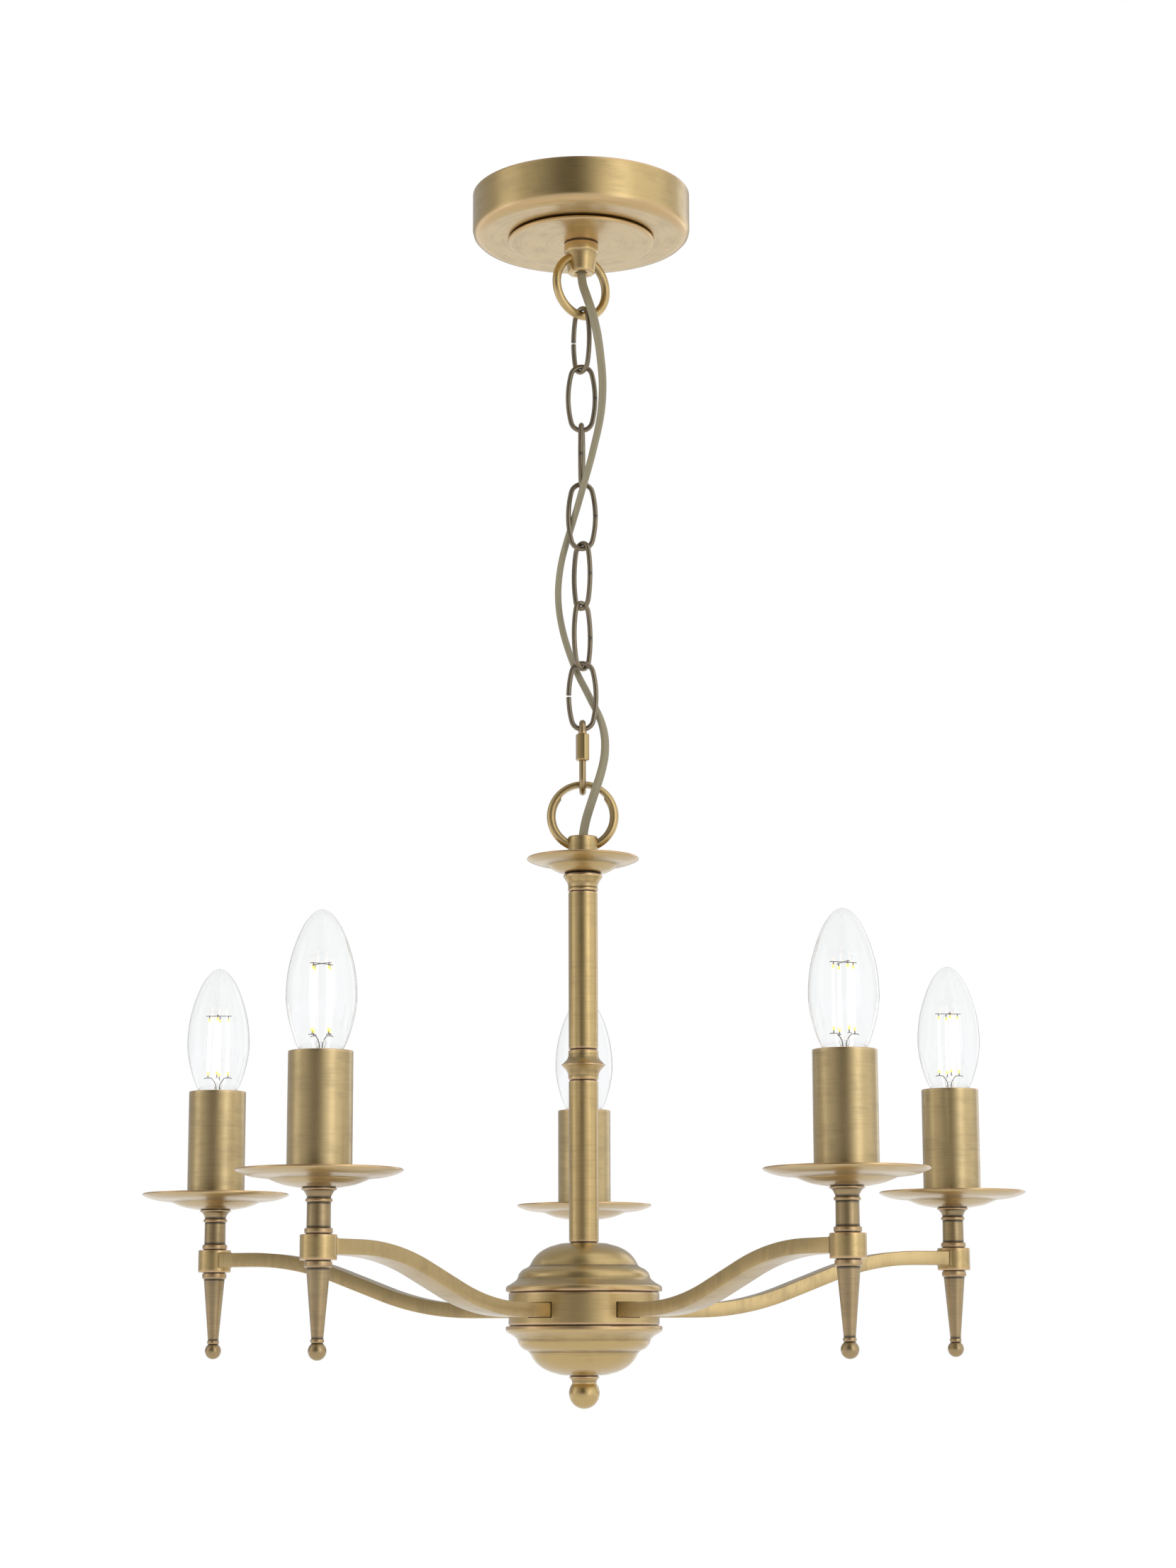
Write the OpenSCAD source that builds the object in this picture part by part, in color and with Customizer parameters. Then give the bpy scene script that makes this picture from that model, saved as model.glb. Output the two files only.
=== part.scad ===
// Five arm ceiling chandelier on a chain: satin brass, candle tubes and drip pans, E14 candle lamps.
// Millimetres. The origin is on the ceiling plane at the middle of the canopy, +Z up.
// The fitting hangs below the ceiling, so nearly everything has a negative Z.

/* [Canopy] */
// Outside diameter of the canopy
canopy_d = 124; // [100:1:160]
// Depth of the canopy below the ceiling
canopy_h = 26; // [22:1:40]
// Sheet thickness of the canopy
canopy_wall = 1.2; // [0.8:0.1:2]
// Radius of the canopy's lower edge
canopy_edge_r = 5; // [3:0.5:8]
// Diameter of the cover disc under the canopy
disc_d = 83.4; // [60:0.2:96]
// Thickness of the cover disc
disc_t = 2; // [1:0.1:3]
// Shadow gap between the disc's rim and the canopy
disc_gap = 0.8; // [0.4:0.1:2]
// Distance between the bracket's two ceiling screw holes
screw_spacing = 50.8; // [44:0.2:70]
// Diameter of a ceiling screw hole
screw_hole_d = 4.6; // [4:0.1:5.5]
// Width of the ceiling bracket
bracket_w = 18; // [14:1:24]
// Sheet thickness of the ceiling bracket
bracket_t = 2; // [1.5:0.1:3]

/* [Threaded tube] */
// Outside diameter of the hollow threaded tube
rod_d = 10; // [8:0.5:11]
// Bore of the hollow threaded tube
rod_bore = 7; // [5.5:0.1:7.5]
// Across flats of its lock nuts
nut_af = 14; // [13:0.5:17]
// Height of its lock nuts
nut_h = 3; // [2.5:0.5:5]

/* [Loops] */
// Outside diameter of the two cast rings
ring_d = 39.7; // [34:0.1:46]
// Wire diameter of the cast rings
ring_wire = 4.9; // [4:0.1:5.4]
// Turn of the upper ring about the vertical axis
top_ring_turn = 37; // [0:1:60]
// Collar diameter of the top loop
top_collar_d = 19.6; // [16:0.2:24]
// Collar height of the top loop
top_collar_h = 5.2; // [4:0.2:7]
// Length of the top loop's body below its collar
top_body_h = 12.6; // [11:0.2:16]
// Diameter at the lower end of the top loop's body
top_body_d = 15; // [13:0.2:18]
// Diameter of the lower loop's body
low_body_d = 16.4; // [14.4:0.2:20]
// Height of the lower loop's body
low_body_h = 20; // [18:0.2:26]
// Thinning of the lower ring's wire where the screw link bears
ring_relief = 1.2; // [0.8:0.1:1.4]
// Play between the screw link and the lower ring
ring_play = 0.55; // [0.4:0.05:0.8]

/* [Chain] */
// Outside length of a chain link
link_l = 40.3; // [34:0.1:48]
// Outside width of a chain link
link_w = 18; // [16.6:0.1:22]
// Wire diameter of a chain link
link_wire = 2.8; // [2:0.1:3]
// Play between two wires that hook into each other
wire_gap = 0.2; // [0.1:0.05:0.5]
// Opening left at the seam of the first and last link
open_seam = 1; // [0.4:0.1:1.4]
// Width of a closed seam
closed_seam = 0.25; // [0.2:0.05:0.4]

/* [Screw link] */
// Outside length of the screw link
quick_l = 42.6; // [38:0.2:50]
// Outside width of the screw link
quick_w = 17; // [15.6:0.2:20]
// Wire diameter of the screw link
quick_wire = 3.7; // [3:0.1:4]
// Across flats of its sleeve nut
quick_nut_af = 6.6; // [6:0.1:8]
// Length of its sleeve nut
quick_nut_l = 14.8; // [12:0.2:15.4]
// Running clearance of the sleeve nut on the wire
quick_nut_play = 0.06; // [0.03:0.01:0.1]

/* [Column] */
// Diameter of the column tubes
tube_d = 16; // [13.6:0.2:20]
// Wall of the column tubes
tube_wall = 1.2; // [0.8:0.1:2]
// Length of the upper tube
upper_tube_l = 87.5; // [60:0.5:120]
// Length of the lower tube
lower_tube_l = 87.9; // [60:0.1:120]
// Diameter of the pan on top of the column
column_pan_d = 61.8; // [52:0.2:76]
// Depth of that pan
column_pan_depth = 8.3; // [6:0.1:10]
// Height of the capital below that pan
capital_h = 9.6; // [8:0.1:14]
// Flange diameter of the capital
capital_d = 21.4; // [20.6:0.2:26]
// Diameter of the sharp edge round the knuckle
knuckle_d = 24; // [21:0.2:28]
// Height of the knuckle
knuckle_h = 16.3; // [14:0.1:22]

/* [Hub] */
// Height of each hub dome
dome_h = 26; // [22:0.5:32]
// Diameter of the rims of the hub domes
rim_d = 84.2; // [82.6:0.2:96]
// Diameter of the hub band
band_d = 81.2; // [72:0.2:82]
// Height of the hub band
band_h = 18.2; // [16:0.2:24]
// Sheet thickness of the hub
hub_wall = 1.2; // [0.8:0.1:2]
// Ball diameter of the bottom finial
finial_ball_d = 16.4; // [14:0.2:22]
// Height of the bottom finial
finial_h = 17.6; // [16.6:0.2:24]

/* [Arms] */
// Number of arms
arm_count = 5; // [5:1:5]
// Distance from the column's axis to a candle's axis
arm_reach = 218; // [180:1:262]
// Rise of an arm from the hub to its collar
arm_rise = 29; // [24:1:36]
// Width of an arm's bar
arm_w = 15; // [12.6:0.2:16]
// Height of an arm's bar
arm_t = 7.6; // [6.4:0.1:8.6]
// Wall of an arm's bar
arm_wall = 1; // [0.8:0.1:1.4]
// Bend radius of an arm's two curves
arm_bend_r = 150; // [120:5:180]
// Steepest angle of an arm
arm_slope = 20.5; // [18:0.5:23]
// Distance from the column's axis to the start of an arm's first bend
bend_start = 62; // [52:1:70]
// Diameter of the collar on an arm's end
collar_d = 18.1; // [16.1:0.1:20]
// Height of the collar
collar_h = 12.3; // [11:0.1:15]

/* [Candles] */
// Diameter of the stem's threaded spigots
spigot_d = 10; // [9:0.5:10]
// Bore of the stem
stem_bore = 6; // [5:0.5:7]
// Diameter of the stem's neck
stem_neck_d = 11.8; // [11:0.1:14]
// Height of the stem between the collar and the drip pan
stem_h = 22.8; // [19:0.2:30]
// Diameter of the stem's flared top
stem_top_d = 17.5; // [16:0.1:22]
// Drip pan diameter
pan_d = 82; // [70:1:98]
// Drip pan depth
pan_depth = 8; // [6.8:0.1:10]
// Sheet thickness of the pans
pan_wall = 1; // [0.8:0.1:1.4]
// Candle tube diameter
candle_d = 32; // [30:0.5:38]
// Candle tube wall
candle_wall = 1; // [0.8:0.1:1.6]
// Height of a candle tube's top above the drip pan's rim
candle_up = 58; // [50:0.5:70]
// Diameter of a lampholder
holder_d = 25; // [22:0.5:26.6]
// Length of the drop below a collar
drop_l = 47.8; // [40:0.2:58]
// Diameter of the drop's little ball
drop_ball_d = 9; // [7.6:0.1:11]

/* [Lamps] */
// Largest diameter of a lamp's glass
lamp_d = 35; // [33:0.5:37]
// Height of the glass above the candle tube
lamp_up = 70; // [64:0.5:80]
// Thread diameter of a lamp's cap
cap_d = 13.9; // [13.6:0.05:14]
// Play between the cap and the lampholder's thread
cap_play = 0.2; // [0.1:0.05:0.4]
// Length of a lamp's cap
cap_l = 22; // [20:0.5:26]

/* [Flex] */
// Diameter of the round tube that stands for the oval flex
flex_d = 4.4; // [4:0.1:4.6]
// Diameter of a wire inside an arm
lead_d = 2; // [1.6:0.1:2.4]

/* [Hidden] */

$fn = 64;
brass = "#b8944f";
dark_brass = "#8a7040";
cut = 1;             // how far a cutter runs past a face
fit = 0.05;          // clearance of a fixed part in its hole

// turn of each link's plane, and which link has its seam on the left, the right or the front
link_turn = [-54, 0, 85, 0, -54, 54, 0];
link_seam = [-1, 1, -1, 1, 1, 1, -1];
link_count = len(link_turn);

// heights, from the ceiling down
disc_bottom = -(canopy_h + disc_gap + disc_t);
bracket_drop = 12;
nipple_top = -6;
top_thread = 11;
top_collar_bottom = disc_bottom - top_collar_h;
top_body_bottom = top_collar_bottom - top_body_h;
top_ring_z = top_collar_bottom - ring_d/2 - 0.25;
link_1_top = top_ring_z - ring_d/2 + ring_wire + wire_gap + link_wire;
link_pitch = link_l - 2*link_wire - wire_gap;
function link_top(k) = link_1_top - k*link_pitch;
last_link_bottom = link_top(link_count - 1) - link_l;
quick_top = last_link_bottom + link_wire + wire_gap + quick_wire;
quick_bottom = quick_top - quick_l;
low_ring_z = quick_bottom + quick_wire + ring_play + ring_wire - ring_relief - ring_d/2;
low_body_top = low_ring_z - ring_d/2 + 8.5;
low_body_bottom = low_body_top - low_body_h;
column_pan_z = low_body_bottom - pan_wall + column_pan_depth;
capital_top = column_pan_z - column_pan_depth;
capital_bottom = capital_top - capital_h;
knuckle_top = capital_bottom - upper_tube_l;
knuckle_bottom = knuckle_top - knuckle_h;
hub_top = knuckle_bottom - lower_tube_l;
band_top = hub_top - dome_h;
band_bottom = band_top - band_h;
hub_bottom = band_bottom - dome_h;
arm_z = (band_top + band_bottom)/2 - 0.8;
collar_z = arm_z + arm_rise;
collar_top = collar_z + collar_h/2 - 0.5;
collar_bottom = collar_top - collar_h;
pan_floor = collar_top + stem_h;
pan_rim = pan_floor + pan_depth;
candle_top = pan_rim + candle_up;
lamp_top = candle_top + lamp_up;
quick_nut_top = quick_top - 9.4;

// a run of points round a circle
function arc(x, y, r, from, to, n = 8) =
    [for (i = [0:n]) let (a = from + (to - from)*i/n) [x + r*cos(a), y + r*sin(a)]];
// a smooth curve through points
function between(a, b, c, d, t) =
    (2*b + (c - a)*t + (2*a - 5*b + 4*c - d)*t*t + (3*b - a - 3*c + d)*t*t*t)/2;
function curve(p, n = 4) = let (m = len(p) - 1)
    [for (i = [0:m - 1], k = [0:n - 1]) between(p[max(i - 1, 0)], p[i], p[i + 1], p[min(i + 2, m)], k/n), p[m]];
function moved(p, x, y) = [for (q = p) [q.x + x, q.y + y]];
function turned_back(p) = [for (i = [len(p) - 1:-1:0]) p[i]];

module turned(p) { rotate_extrude() polygon(p); }
module bore(d, top, bottom) { translate([0, 0, bottom]) cylinder(h = top - bottom, d = d); }
module each_arm() { for (k = [1:arm_count]) at_arm(k) children(); }
// arm 1 is nearest on the left, and the numbers go round anticlockwise as seen from above
module at_arm(k) { rotate([0, 0, -126 + (k - 1)*360/arm_count]) children(); }
module at_candle(k) { at_arm(k) translate([arm_reach, 0, 0]) children(); }
module each_candle() { for (k = [1:arm_count]) at_candle(k) children(); }

// a tube swept along points in space
function unit(v) = v/norm(v);
function heading(p, i) = unit(p[min(i + 1, len(p) - 1)] - p[max(i - 1, 0)]);
function side_of(t) = unit(cross(t, abs(t.y) < 0.9 ? [0, 1, 0] : [1, 0, 0]));
module swept(p, d, sides = 8) {
    n = len(p);
    rings = [for (i = [0:n - 1]) let (t = heading(p, i), u = side_of(t), v = cross(t, u))
        for (k = [0:sides - 1]) p[i] + d/2*(cos(360*k/sides)*u + sin(360*k/sides)*v)];
    walls = [for (i = [0:n - 2], k = [0:sides - 1]) let (j = (k + 1)%sides)
        [i*sides + k, (i + 1)*sides + k, (i + 1)*sides + j, i*sides + j]];
    first = [for (k = [0:sides - 1]) k];
    last = [for (k = [sides - 1:-1:0]) (n - 1)*sides + k];
    polyhedron(rings, concat([first], walls, [last]));
}

// ---- ceiling fixings
module ceiling_bracket() {
    foot_in = screw_spacing/2 - 7;
    foot_out = screw_spacing/2 + 20;
    step = bracket_drop - bracket_t;
    outline = [[-foot_out, 0], [-foot_out, -bracket_t], [-foot_in - bracket_t, -bracket_t],
        [-foot_in + step/3 - bracket_t, -bracket_drop], [foot_in - step/3 + bracket_t, -bracket_drop],
        [foot_in + bracket_t, -bracket_t], [foot_out, -bracket_t], [foot_out, 0], [foot_in, 0],
        [foot_in - step/3, -step], [-foot_in + step/3, -step], [-foot_in, 0]];
    color("silver") difference() {
        rotate([90, 0, 0]) translate([0, 0, -bracket_w/2]) linear_extrude(bracket_w) polygon(outline);
        for (s = [-1, 1]) translate([s*screw_spacing/2, 0, 0]) bore(screw_hole_d, cut, -bracket_t - cut);
        bore(rod_d + 2*fit, 0, -bracket_drop - cut);
    }
}
module bracket_nut() {
    color("silver") hex_nut(-bracket_drop + bracket_t, nut_h);
}
module hex_nut(z, h) {
    translate([0, 0, z]) difference() {
        cylinder(h = h, d = nut_af/cos(30), $fn = 6);
        translate([0, 0, -cut]) cylinder(h = h + 2*cut, d = rod_d + 2*fit);
    }
}
module canopy_nipple() {
    color("silver") difference() {
        bore(rod_d, nipple_top, disc_bottom - top_thread);
        bore(rod_bore, nipple_top + cut, disc_bottom - top_thread - cut);
    }
}
// a round cup's half section, with its open side on the ceiling
module cup_half(r, h, edge) {
    square([r - edge, h]);
    translate([0, edge]) square([r, h - edge]);
    translate([r - edge, edge]) circle(edge);
}
module canopy() {
    r = canopy_d/2;
    color(brass) difference() {
        translate([0, 0, -canopy_h]) rotate_extrude() difference() {
            cup_half(r, canopy_h, canopy_edge_r);
            translate([0, canopy_wall]) cup_half(r - canopy_wall, canopy_h, canopy_edge_r - canopy_wall);
        }
        bore(rod_d + 2*fit, 0, -canopy_h - cut);
    }
}
module canopy_disc() {
    boss_r = disc_d/2 - 10;
    color(brass) difference() {
        union() {
            turned(concat([[0, disc_bottom]], [[disc_d/2 - disc_t/2, disc_bottom]],
                arc(disc_d/2 - disc_t/2, disc_bottom + disc_t/2, disc_t/2, -60, 90, 6),
                [[0, disc_bottom + disc_t]]));
            bore(2*boss_r, -canopy_h, disc_bottom + disc_t/2);
        }
        bore(rod_d + 2*fit, 0, disc_bottom - cut);
    }
}
module cast_ring(z, turn) {
    translate([0, 0, z]) rotate([90, 0, turn]) rotate_extrude()
        translate([(ring_d - ring_wire)/2, 0]) circle(d = ring_wire);
}
module top_loop() {
    exit_d = flex_d + 2.2;
    color(brass) difference() {
        union() {
            turned([[0, disc_bottom], [top_collar_d/2 - 0.4, disc_bottom], [top_collar_d/2, disc_bottom - 0.4],
                [top_collar_d/2, top_collar_bottom + 0.6], [top_collar_d/2 - 0.6, top_collar_bottom],
                [top_body_d/2 + 1.6, top_collar_bottom - 1], [top_body_d/2, top_body_bottom + 1],
                [top_body_d/2 - 0.8, top_body_bottom], [0, top_body_bottom]]);
            cast_ring(top_ring_z, top_ring_turn);
        }
        bore(rod_d + 2*fit, disc_bottom + cut, disc_bottom - top_thread);
        bore(exit_d, disc_bottom, top_body_bottom - cut);
        translate([0, 0, top_body_bottom - 0.01]) cylinder(h = 1.2, d1 = exit_d + 2.4, d2 = exit_d);
    }
}
// the block lies beside the bracket, against the canopy's floor
block_l = 30;
block_w = 14;
block_h = 12;
block_y = 26;
block_z = -canopy_h + canopy_wall;
block_ways = 3;
module terminal_block() {
    way = block_l/block_ways;
    color("white") difference() {
        translate([-block_l/2, block_y - block_w/2, block_z]) cube([block_l, block_w, block_h]);
        for (i = [0:block_ways - 1]) translate([(i - (block_ways - 1)/2)*way, block_y, block_z + block_h/2])
            rotate([90, 0, 0]) cylinder(h = block_w + 2*cut, d = 4, center = true);
        for (i = [0:block_ways - 1], s = [-1, 1])
            translate([(i - (block_ways - 1)/2)*way, block_y + s*block_w/4, block_z + block_h - 3])
                cylinder(h = 4, d = 4);
        for (i = [0:block_ways - 2]) translate([(i - block_ways/2 + 1)*way - 0.6, block_y - block_w, block_z + 4])
            cube([1.2, 2*block_w, block_h]);
    }
}
module supply_tails() {
    way = block_l/block_ways;
    color("saddlebrown") for (i = [-1:1])
        swept(curve([[i*2, 0, nipple_top - 6], [i*2, 0, nipple_top - 1], [i*2.4, 1.5, nipple_top + 2.6],
            [i*3.6, 6.5, nipple_top + 3], [i*7, 10, nipple_top - 2], [i*(way - 0.6), 14, nipple_top - 10],
            [i*way, 18, block_z + block_h/2], [i*way, block_y - 3, block_z + block_h/2]], 3), 1.8);
}

// ---- chain: two half rings joined by straight wire
module wire_loop(l, w, wire) {
    r = (w - wire)/2;
    c = (l - wire)/2 - r;
    rotate([90, 0, 0]) for (s = [0, 180]) rotate([0, 0, s]) {
        translate([0, c, 0]) rotate_extrude(angle = 180) translate([r, 0]) circle(d = wire);
        translate([r, -c, 0]) rotate([-90, 0, 0]) cylinder(h = 2*c, d = wire);
    }
}
module chain_link(k) {
    seam = (k == 1 || k == link_count) ? open_seam : closed_seam;
    color(dark_brass) translate([0, 0, link_top(k - 1) - link_l/2]) rotate([0, 0, link_turn[k - 1]])
        difference() {
            wire_loop(link_l, link_w, link_wire);
            translate([link_seam[k - 1]*link_w/2, 0, 0]) cube([2*link_wire + 2, 2*link_wire, seam], center = true);
        }
}
module quick_link() {
    side_y = (quick_w - quick_wire)/2;
    slit = quick_nut_l*0.45;
    color(brass) union() {
        difference() {
            translate([0, 0, quick_top - quick_l/2]) rotate([0, 0, 90]) wire_loop(quick_l, quick_w, quick_wire);
            translate([-quick_wire, -side_y - quick_wire, quick_nut_top - 1.2 - slit])
                cube([2*quick_wire, 2*quick_wire, slit]);
        }
        translate([0, -side_y, quick_nut_top + 0.15]) cylinder(h = 1.5, d = quick_wire + 1);
    }
}
module quick_link_nut() {
    side_y = (quick_w - quick_wire)/2;
    across = quick_nut_af/cos(30);
    color(brass) translate([0, -side_y, quick_nut_top - quick_nut_l]) difference() {
        intersection() {
            rotate([0, 0, 30]) cylinder(h = quick_nut_l, d = across, $fn = 6);
            turned([[0, 0], [quick_nut_af/2 - 0.2, 0], [across/2, 0.5], [across/2, quick_nut_l - 0.5],
                [quick_nut_af/2 - 0.2, quick_nut_l], [0, quick_nut_l]]);
        }
        translate([0, 0, -cut]) cylinder(h = quick_nut_l + 2*cut, d = quick_wire + 2*quick_nut_play);
    }
}

// ---- flex: from the nipple, weaving down the chain and into the column
flex_points = [[0, 0, -14], [0, 0, -24], [0, 0, -34], [0, 0, -44], [0.8, -2.6, -53.5], [3, -6.4, -62],
    [5.6, -9.3, -71], [8, -10.4, -81], [9.8, -10, -91], [11, -9.2, -101], [11.8, -8.5, -111], [11.8, -8, -121],
    [11, -8, -131], [9.3, -8.3, -141], [7.2, -9.6, -150.5], [5, -10.6, -160], [2.6, -10.4, -168.8],
    [0, -7, -177], [-2.8, -1, -185.4], [-5.8, 4.2, -194], [-9, 6.4, -204], [-11.5, 6.5, -214],
    [-13, 6.5, -224], [-13.5, 6.5, -234], [-12.8, 6.5, -244], [-11, 6.5, -254], [-8.4, 6.5, -263.5],
    [-5.3, 6.2, -272.5], [-1.8, 6, -281], [2, 5.8, -288.5], [5.4, 5.5, -295.5], [8.6, 4.8, -302],
    [11.2, 3.2, -309.5], [12.5, 1, -318], [12.2, -2, -327.5], [10.3, -5, -337], [7.4, -6.5, -346.5],
    [4.4, -5.6, -355.5], [1.6, -2.6, -364.5], [0.1, -0.3, -373.5], [0, 0, -384], [0, 0, -396], [0, 0, -408],
    [0, 0, -420], [0, 0, -432], [0, 0, -444], [0, 0, -456], [0, 0, -468], [0, 0, -480], [0, 0, -492],
    [0, 0, -504], [0, 0, -516], [0, 0, -528], [0, 0, -540], [0, 0, -552], [0, 0, -564], [0, 0, -576],
    [0, 0, -588], [0, 0, -600], [0, 0, -612], [0, 0, -624]];
module flex() { color("darkkhaki") swept(flex_points, flex_d); }

// ---- column
module lower_loop() {
    r = low_body_d/2;
    seat = low_body_bottom;
    relief_r = ring_d/2 - ring_wire + ring_relief;
    color(brass) difference() {
        union() {
            turned([[0, seat], [r + 0.3, seat], [r, seat + 6], [r, low_body_top - 0.8], [r - 0.8, low_body_top],
                [0, low_body_top]]);
            cast_ring(low_ring_z, 0);
        }
        bore(rod_d + 2*fit, low_body_top - 7, seat - cut);
        bore(flex_d + 1.6, low_body_top + cut, seat);
        // the flat that the screw link bears on
        intersection() {
            translate([0, 0, low_ring_z]) rotate([90, 0, 0]) cylinder(h = 2*ring_wire, r = relief_r, center = true);
            translate([-ring_d/3.4, -ring_wire, low_ring_z + ring_d/5]) cube([2*ring_d/3.4, 2*ring_wire, ring_d]);
        }
    }
}
// underside of a pan from its hole out to its rim, with the rim at zero height
function pan_under(rim_r, belly_r, hole_r, depth, flange) = concat([[hole_r, -depth]],
    curve([[belly_r*0.45, -depth], [belly_r*0.72, -depth + (depth - flange)*0.3],
        [belly_r*0.93, -flange - (depth - flange)*0.25], [belly_r*1.04, -flange],
        [rim_r*0.82, -flange*0.74], [rim_r*0.95, -flange*0.3], [rim_r, 0]], 3));
module pan(z, rim_r, belly_r, depth, flange) {
    under = pan_under(rim_r, belly_r, rod_d/2 + fit, depth, flange);
    lip = [[rim_r - 0.1, 0.4], [rim_r - 0.6, 0.55]];
    inside = [for (i = [len(under) - 2:-1:0]) under[i] + [-0.3, pan_wall]];
    color(brass) translate([0, 0, z])
        turned(concat(under, lip, [for (q = inside) [max(q.x, rod_d/2 + fit), q.y]]));
}
module column_pan() { pan(column_pan_z, column_pan_d/2, column_pan_d*0.315, column_pan_depth, 3.2); }
module column_capital() {
    r = tube_d/2;
    flange_r = capital_d/2;
    z = capital_top;
    color(brass) difference() {
        turned(concat([[0, z], [flange_r - 0.6, z], [flange_r, z - 0.6], [flange_r, z - 1.6]],
            curve([[flange_r - 0.4, z - 2.2], [r + 1.5, z - 3.4], [r + 0.4, z - 5.2], [r + 0.1, z - 7]]),
            [[r, z - 7.8], [r + 0.3, z - 8.2], [r + 0.3, capital_bottom + 0.5], [r, capital_bottom],
            [0, capital_bottom]]));
        bore(rod_d + 2*fit, z + cut, capital_bottom - cut);
    }
}
module column_tube(top, bottom) {
    color(brass) difference() {
        bore(tube_d, top, bottom);
        bore(tube_d - 2*tube_wall, top + cut, bottom - cut);
    }
}
module upper_tube() { column_tube(capital_bottom, knuckle_top); }
module lower_tube() { column_tube(knuckle_bottom, hub_top); }
module column_knuckle() {
    r = tube_d/2;
    edge_z = (knuckle_top + knuckle_bottom)/2;
    half = curve([[r + 0.15, knuckle_h*0.34], [r + 0.9, knuckle_h*0.2], [knuckle_d/2 - 0.9, 0.9], [knuckle_d/2, 0.2]]);
    lower_half = turned_back([for (q = half) [q.x, -q.y*1.1]]);
    color(brass) difference() {
        turned(concat([[0, knuckle_top], [r - 0.3, knuckle_top], [r + 0.25, knuckle_top - 0.5]],
            moved(half, 0, edge_z), moved(lower_half, 0, edge_z),
            [[r + 0.2, knuckle_bottom + 0.5], [r - 0.3, knuckle_bottom], [0, knuckle_bottom]]));
        bore(rod_d + 2*fit, knuckle_top + cut, knuckle_bottom - cut);
    }
}
rod_top = low_body_top - 7.4;
rod_bottom = hub_bottom - finial_h*0.45;
module centre_rod() {
    window_h = 16;
    color("silver") difference() {
        bore(rod_d, rod_top, rod_bottom);
        bore(rod_bore, rod_top + cut, rod_bottom - cut);
        translate([-rod_d, -2.5, hub_bottom + 12]) cube([2*rod_d, 5, window_h]);
    }
}

// ---- hub: one pressing used twice, face to face, on a band
// outside of the dome, from its top edge out and down to the rim, with the band's end at zero height
function dome_profile() = let (r = rim_d/2, h = dome_h) concat(
    [[tube_d/2 + 1, h], [tube_d/2 + 4.6, h - 0.3]],
    arc_dome(r, h),
    curve([[r*0.72, h*0.505], [r*0.785, h*0.452], [r*0.832, h*0.37], [r*0.85, h*0.28], [r*0.882, h*0.222],
        [r*0.935, h*0.165], [r - 0.5, h*0.118]], 3),
    arc(r - 0.8, h*0.118 - 0.8, 0.8, 60, 0, 3),
    [[r, 0.6], [r - 0.6, 0]]);
function arc_dome(r, h) = curve([[r*0.43, h*0.93], [r*0.52, h*0.862], [r*0.6, h*0.765], [r*0.655, h*0.655],
    [r*0.682, h*0.575], [r*0.698, h*0.532]], 3);
module hub_dome() {
    outside = dome_profile();
    shell = [for (i = [len(outside) - 3:-1:0]) [outside[i].x - hub_wall*0.8, outside[i].y - hub_wall]];
    difference() {
        turned(concat([[rod_d/2 + fit, dome_h]], outside, [[rim_d/2 - 3.6, 0]],
            [for (q = shell) [max(q.x, rod_d/2 + fit), max(q.y, 0)]],
            [[rod_d/2 + fit, dome_h - hub_wall]]));
        bore(rod_d + 2*fit, dome_h + cut, 0);
    }
}
module hub_top_dome() { color(brass) translate([0, 0, band_top]) hub_dome(); }
module hub_bottom_dome() { color(brass) translate([0, 0, band_bottom]) mirror([0, 0, 1]) hub_dome(); }
module hub_band() {
    slot_w = arm_w + 4*fit;
    slot_h = arm_t + 4*fit;
    color(brass) difference() {
        bore(band_d, band_top, band_bottom);
        bore(band_d - 2*hub_wall, band_top + cut, band_bottom - cut);
        each_arm() translate([band_d/4, -slot_w/2, arm_z - slot_h/2]) cube([band_d/2, slot_w, slot_h]);
    }
}
module hub_nut() { color("silver") hex_nut(hub_top - hub_wall - nut_h, nut_h); }
module bottom_finial() {
    ball_r = finial_ball_d/2;
    ball_z = hub_bottom - finial_h + ball_r;
    color(brass) difference() {
        union() {
            turned(concat([[0, hub_bottom], [ball_r - 0.3, hub_bottom], [ball_r - 0.1, hub_bottom - 0.8]],
                curve([[ball_r - 0.6, hub_bottom - 1.6], [ball_r - 1.5, hub_bottom - 3], [ball_r - 1.7, hub_bottom - 4.6],
                    [ball_r - 1.3, hub_bottom - 5.6]]), [[0, hub_bottom - 6]]));
            translate([0, 0, ball_z]) sphere(ball_r);
        }
        bore(rod_d + 2*fit, hub_bottom + cut, rod_bottom - 0.2);
    }
}
ring_block_in = rod_d/2 + 2;
ring_block_out = 25;
ring_block_top = arm_z - arm_t/2 - 5;
module hub_terminal_ring() {
    h = 9;
    color("white") difference() {
        bore(2*ring_block_out, ring_block_top, ring_block_top - h);
        bore(2*ring_block_in, ring_block_top + cut, ring_block_top - h - cut);
        each_arm() translate([ring_block_out - 5, 0, 0]) bore(lead_d + 0.8, ring_block_top + cut, ring_block_top - 6);
        for (k = [1:arm_count]) at_arm(k + 0.5) translate([ring_block_in + 6, 0, 0])
            bore(4, ring_block_top + cut, ring_block_top - 5);
    }
}

// ---- arms: the middle line of an arm seen from the side, from inside the hub to the collar
bend_run = 2*arm_bend_r*sin(arm_slope);
bend_rise = 2*arm_bend_r*(1 - cos(arm_slope));
straight_l = (arm_rise - bend_rise)/sin(arm_slope);
bend_end = bend_start + bend_run + straight_l*cos(arm_slope);
arm_in = band_d/2 - hub_wall - 6;
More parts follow.
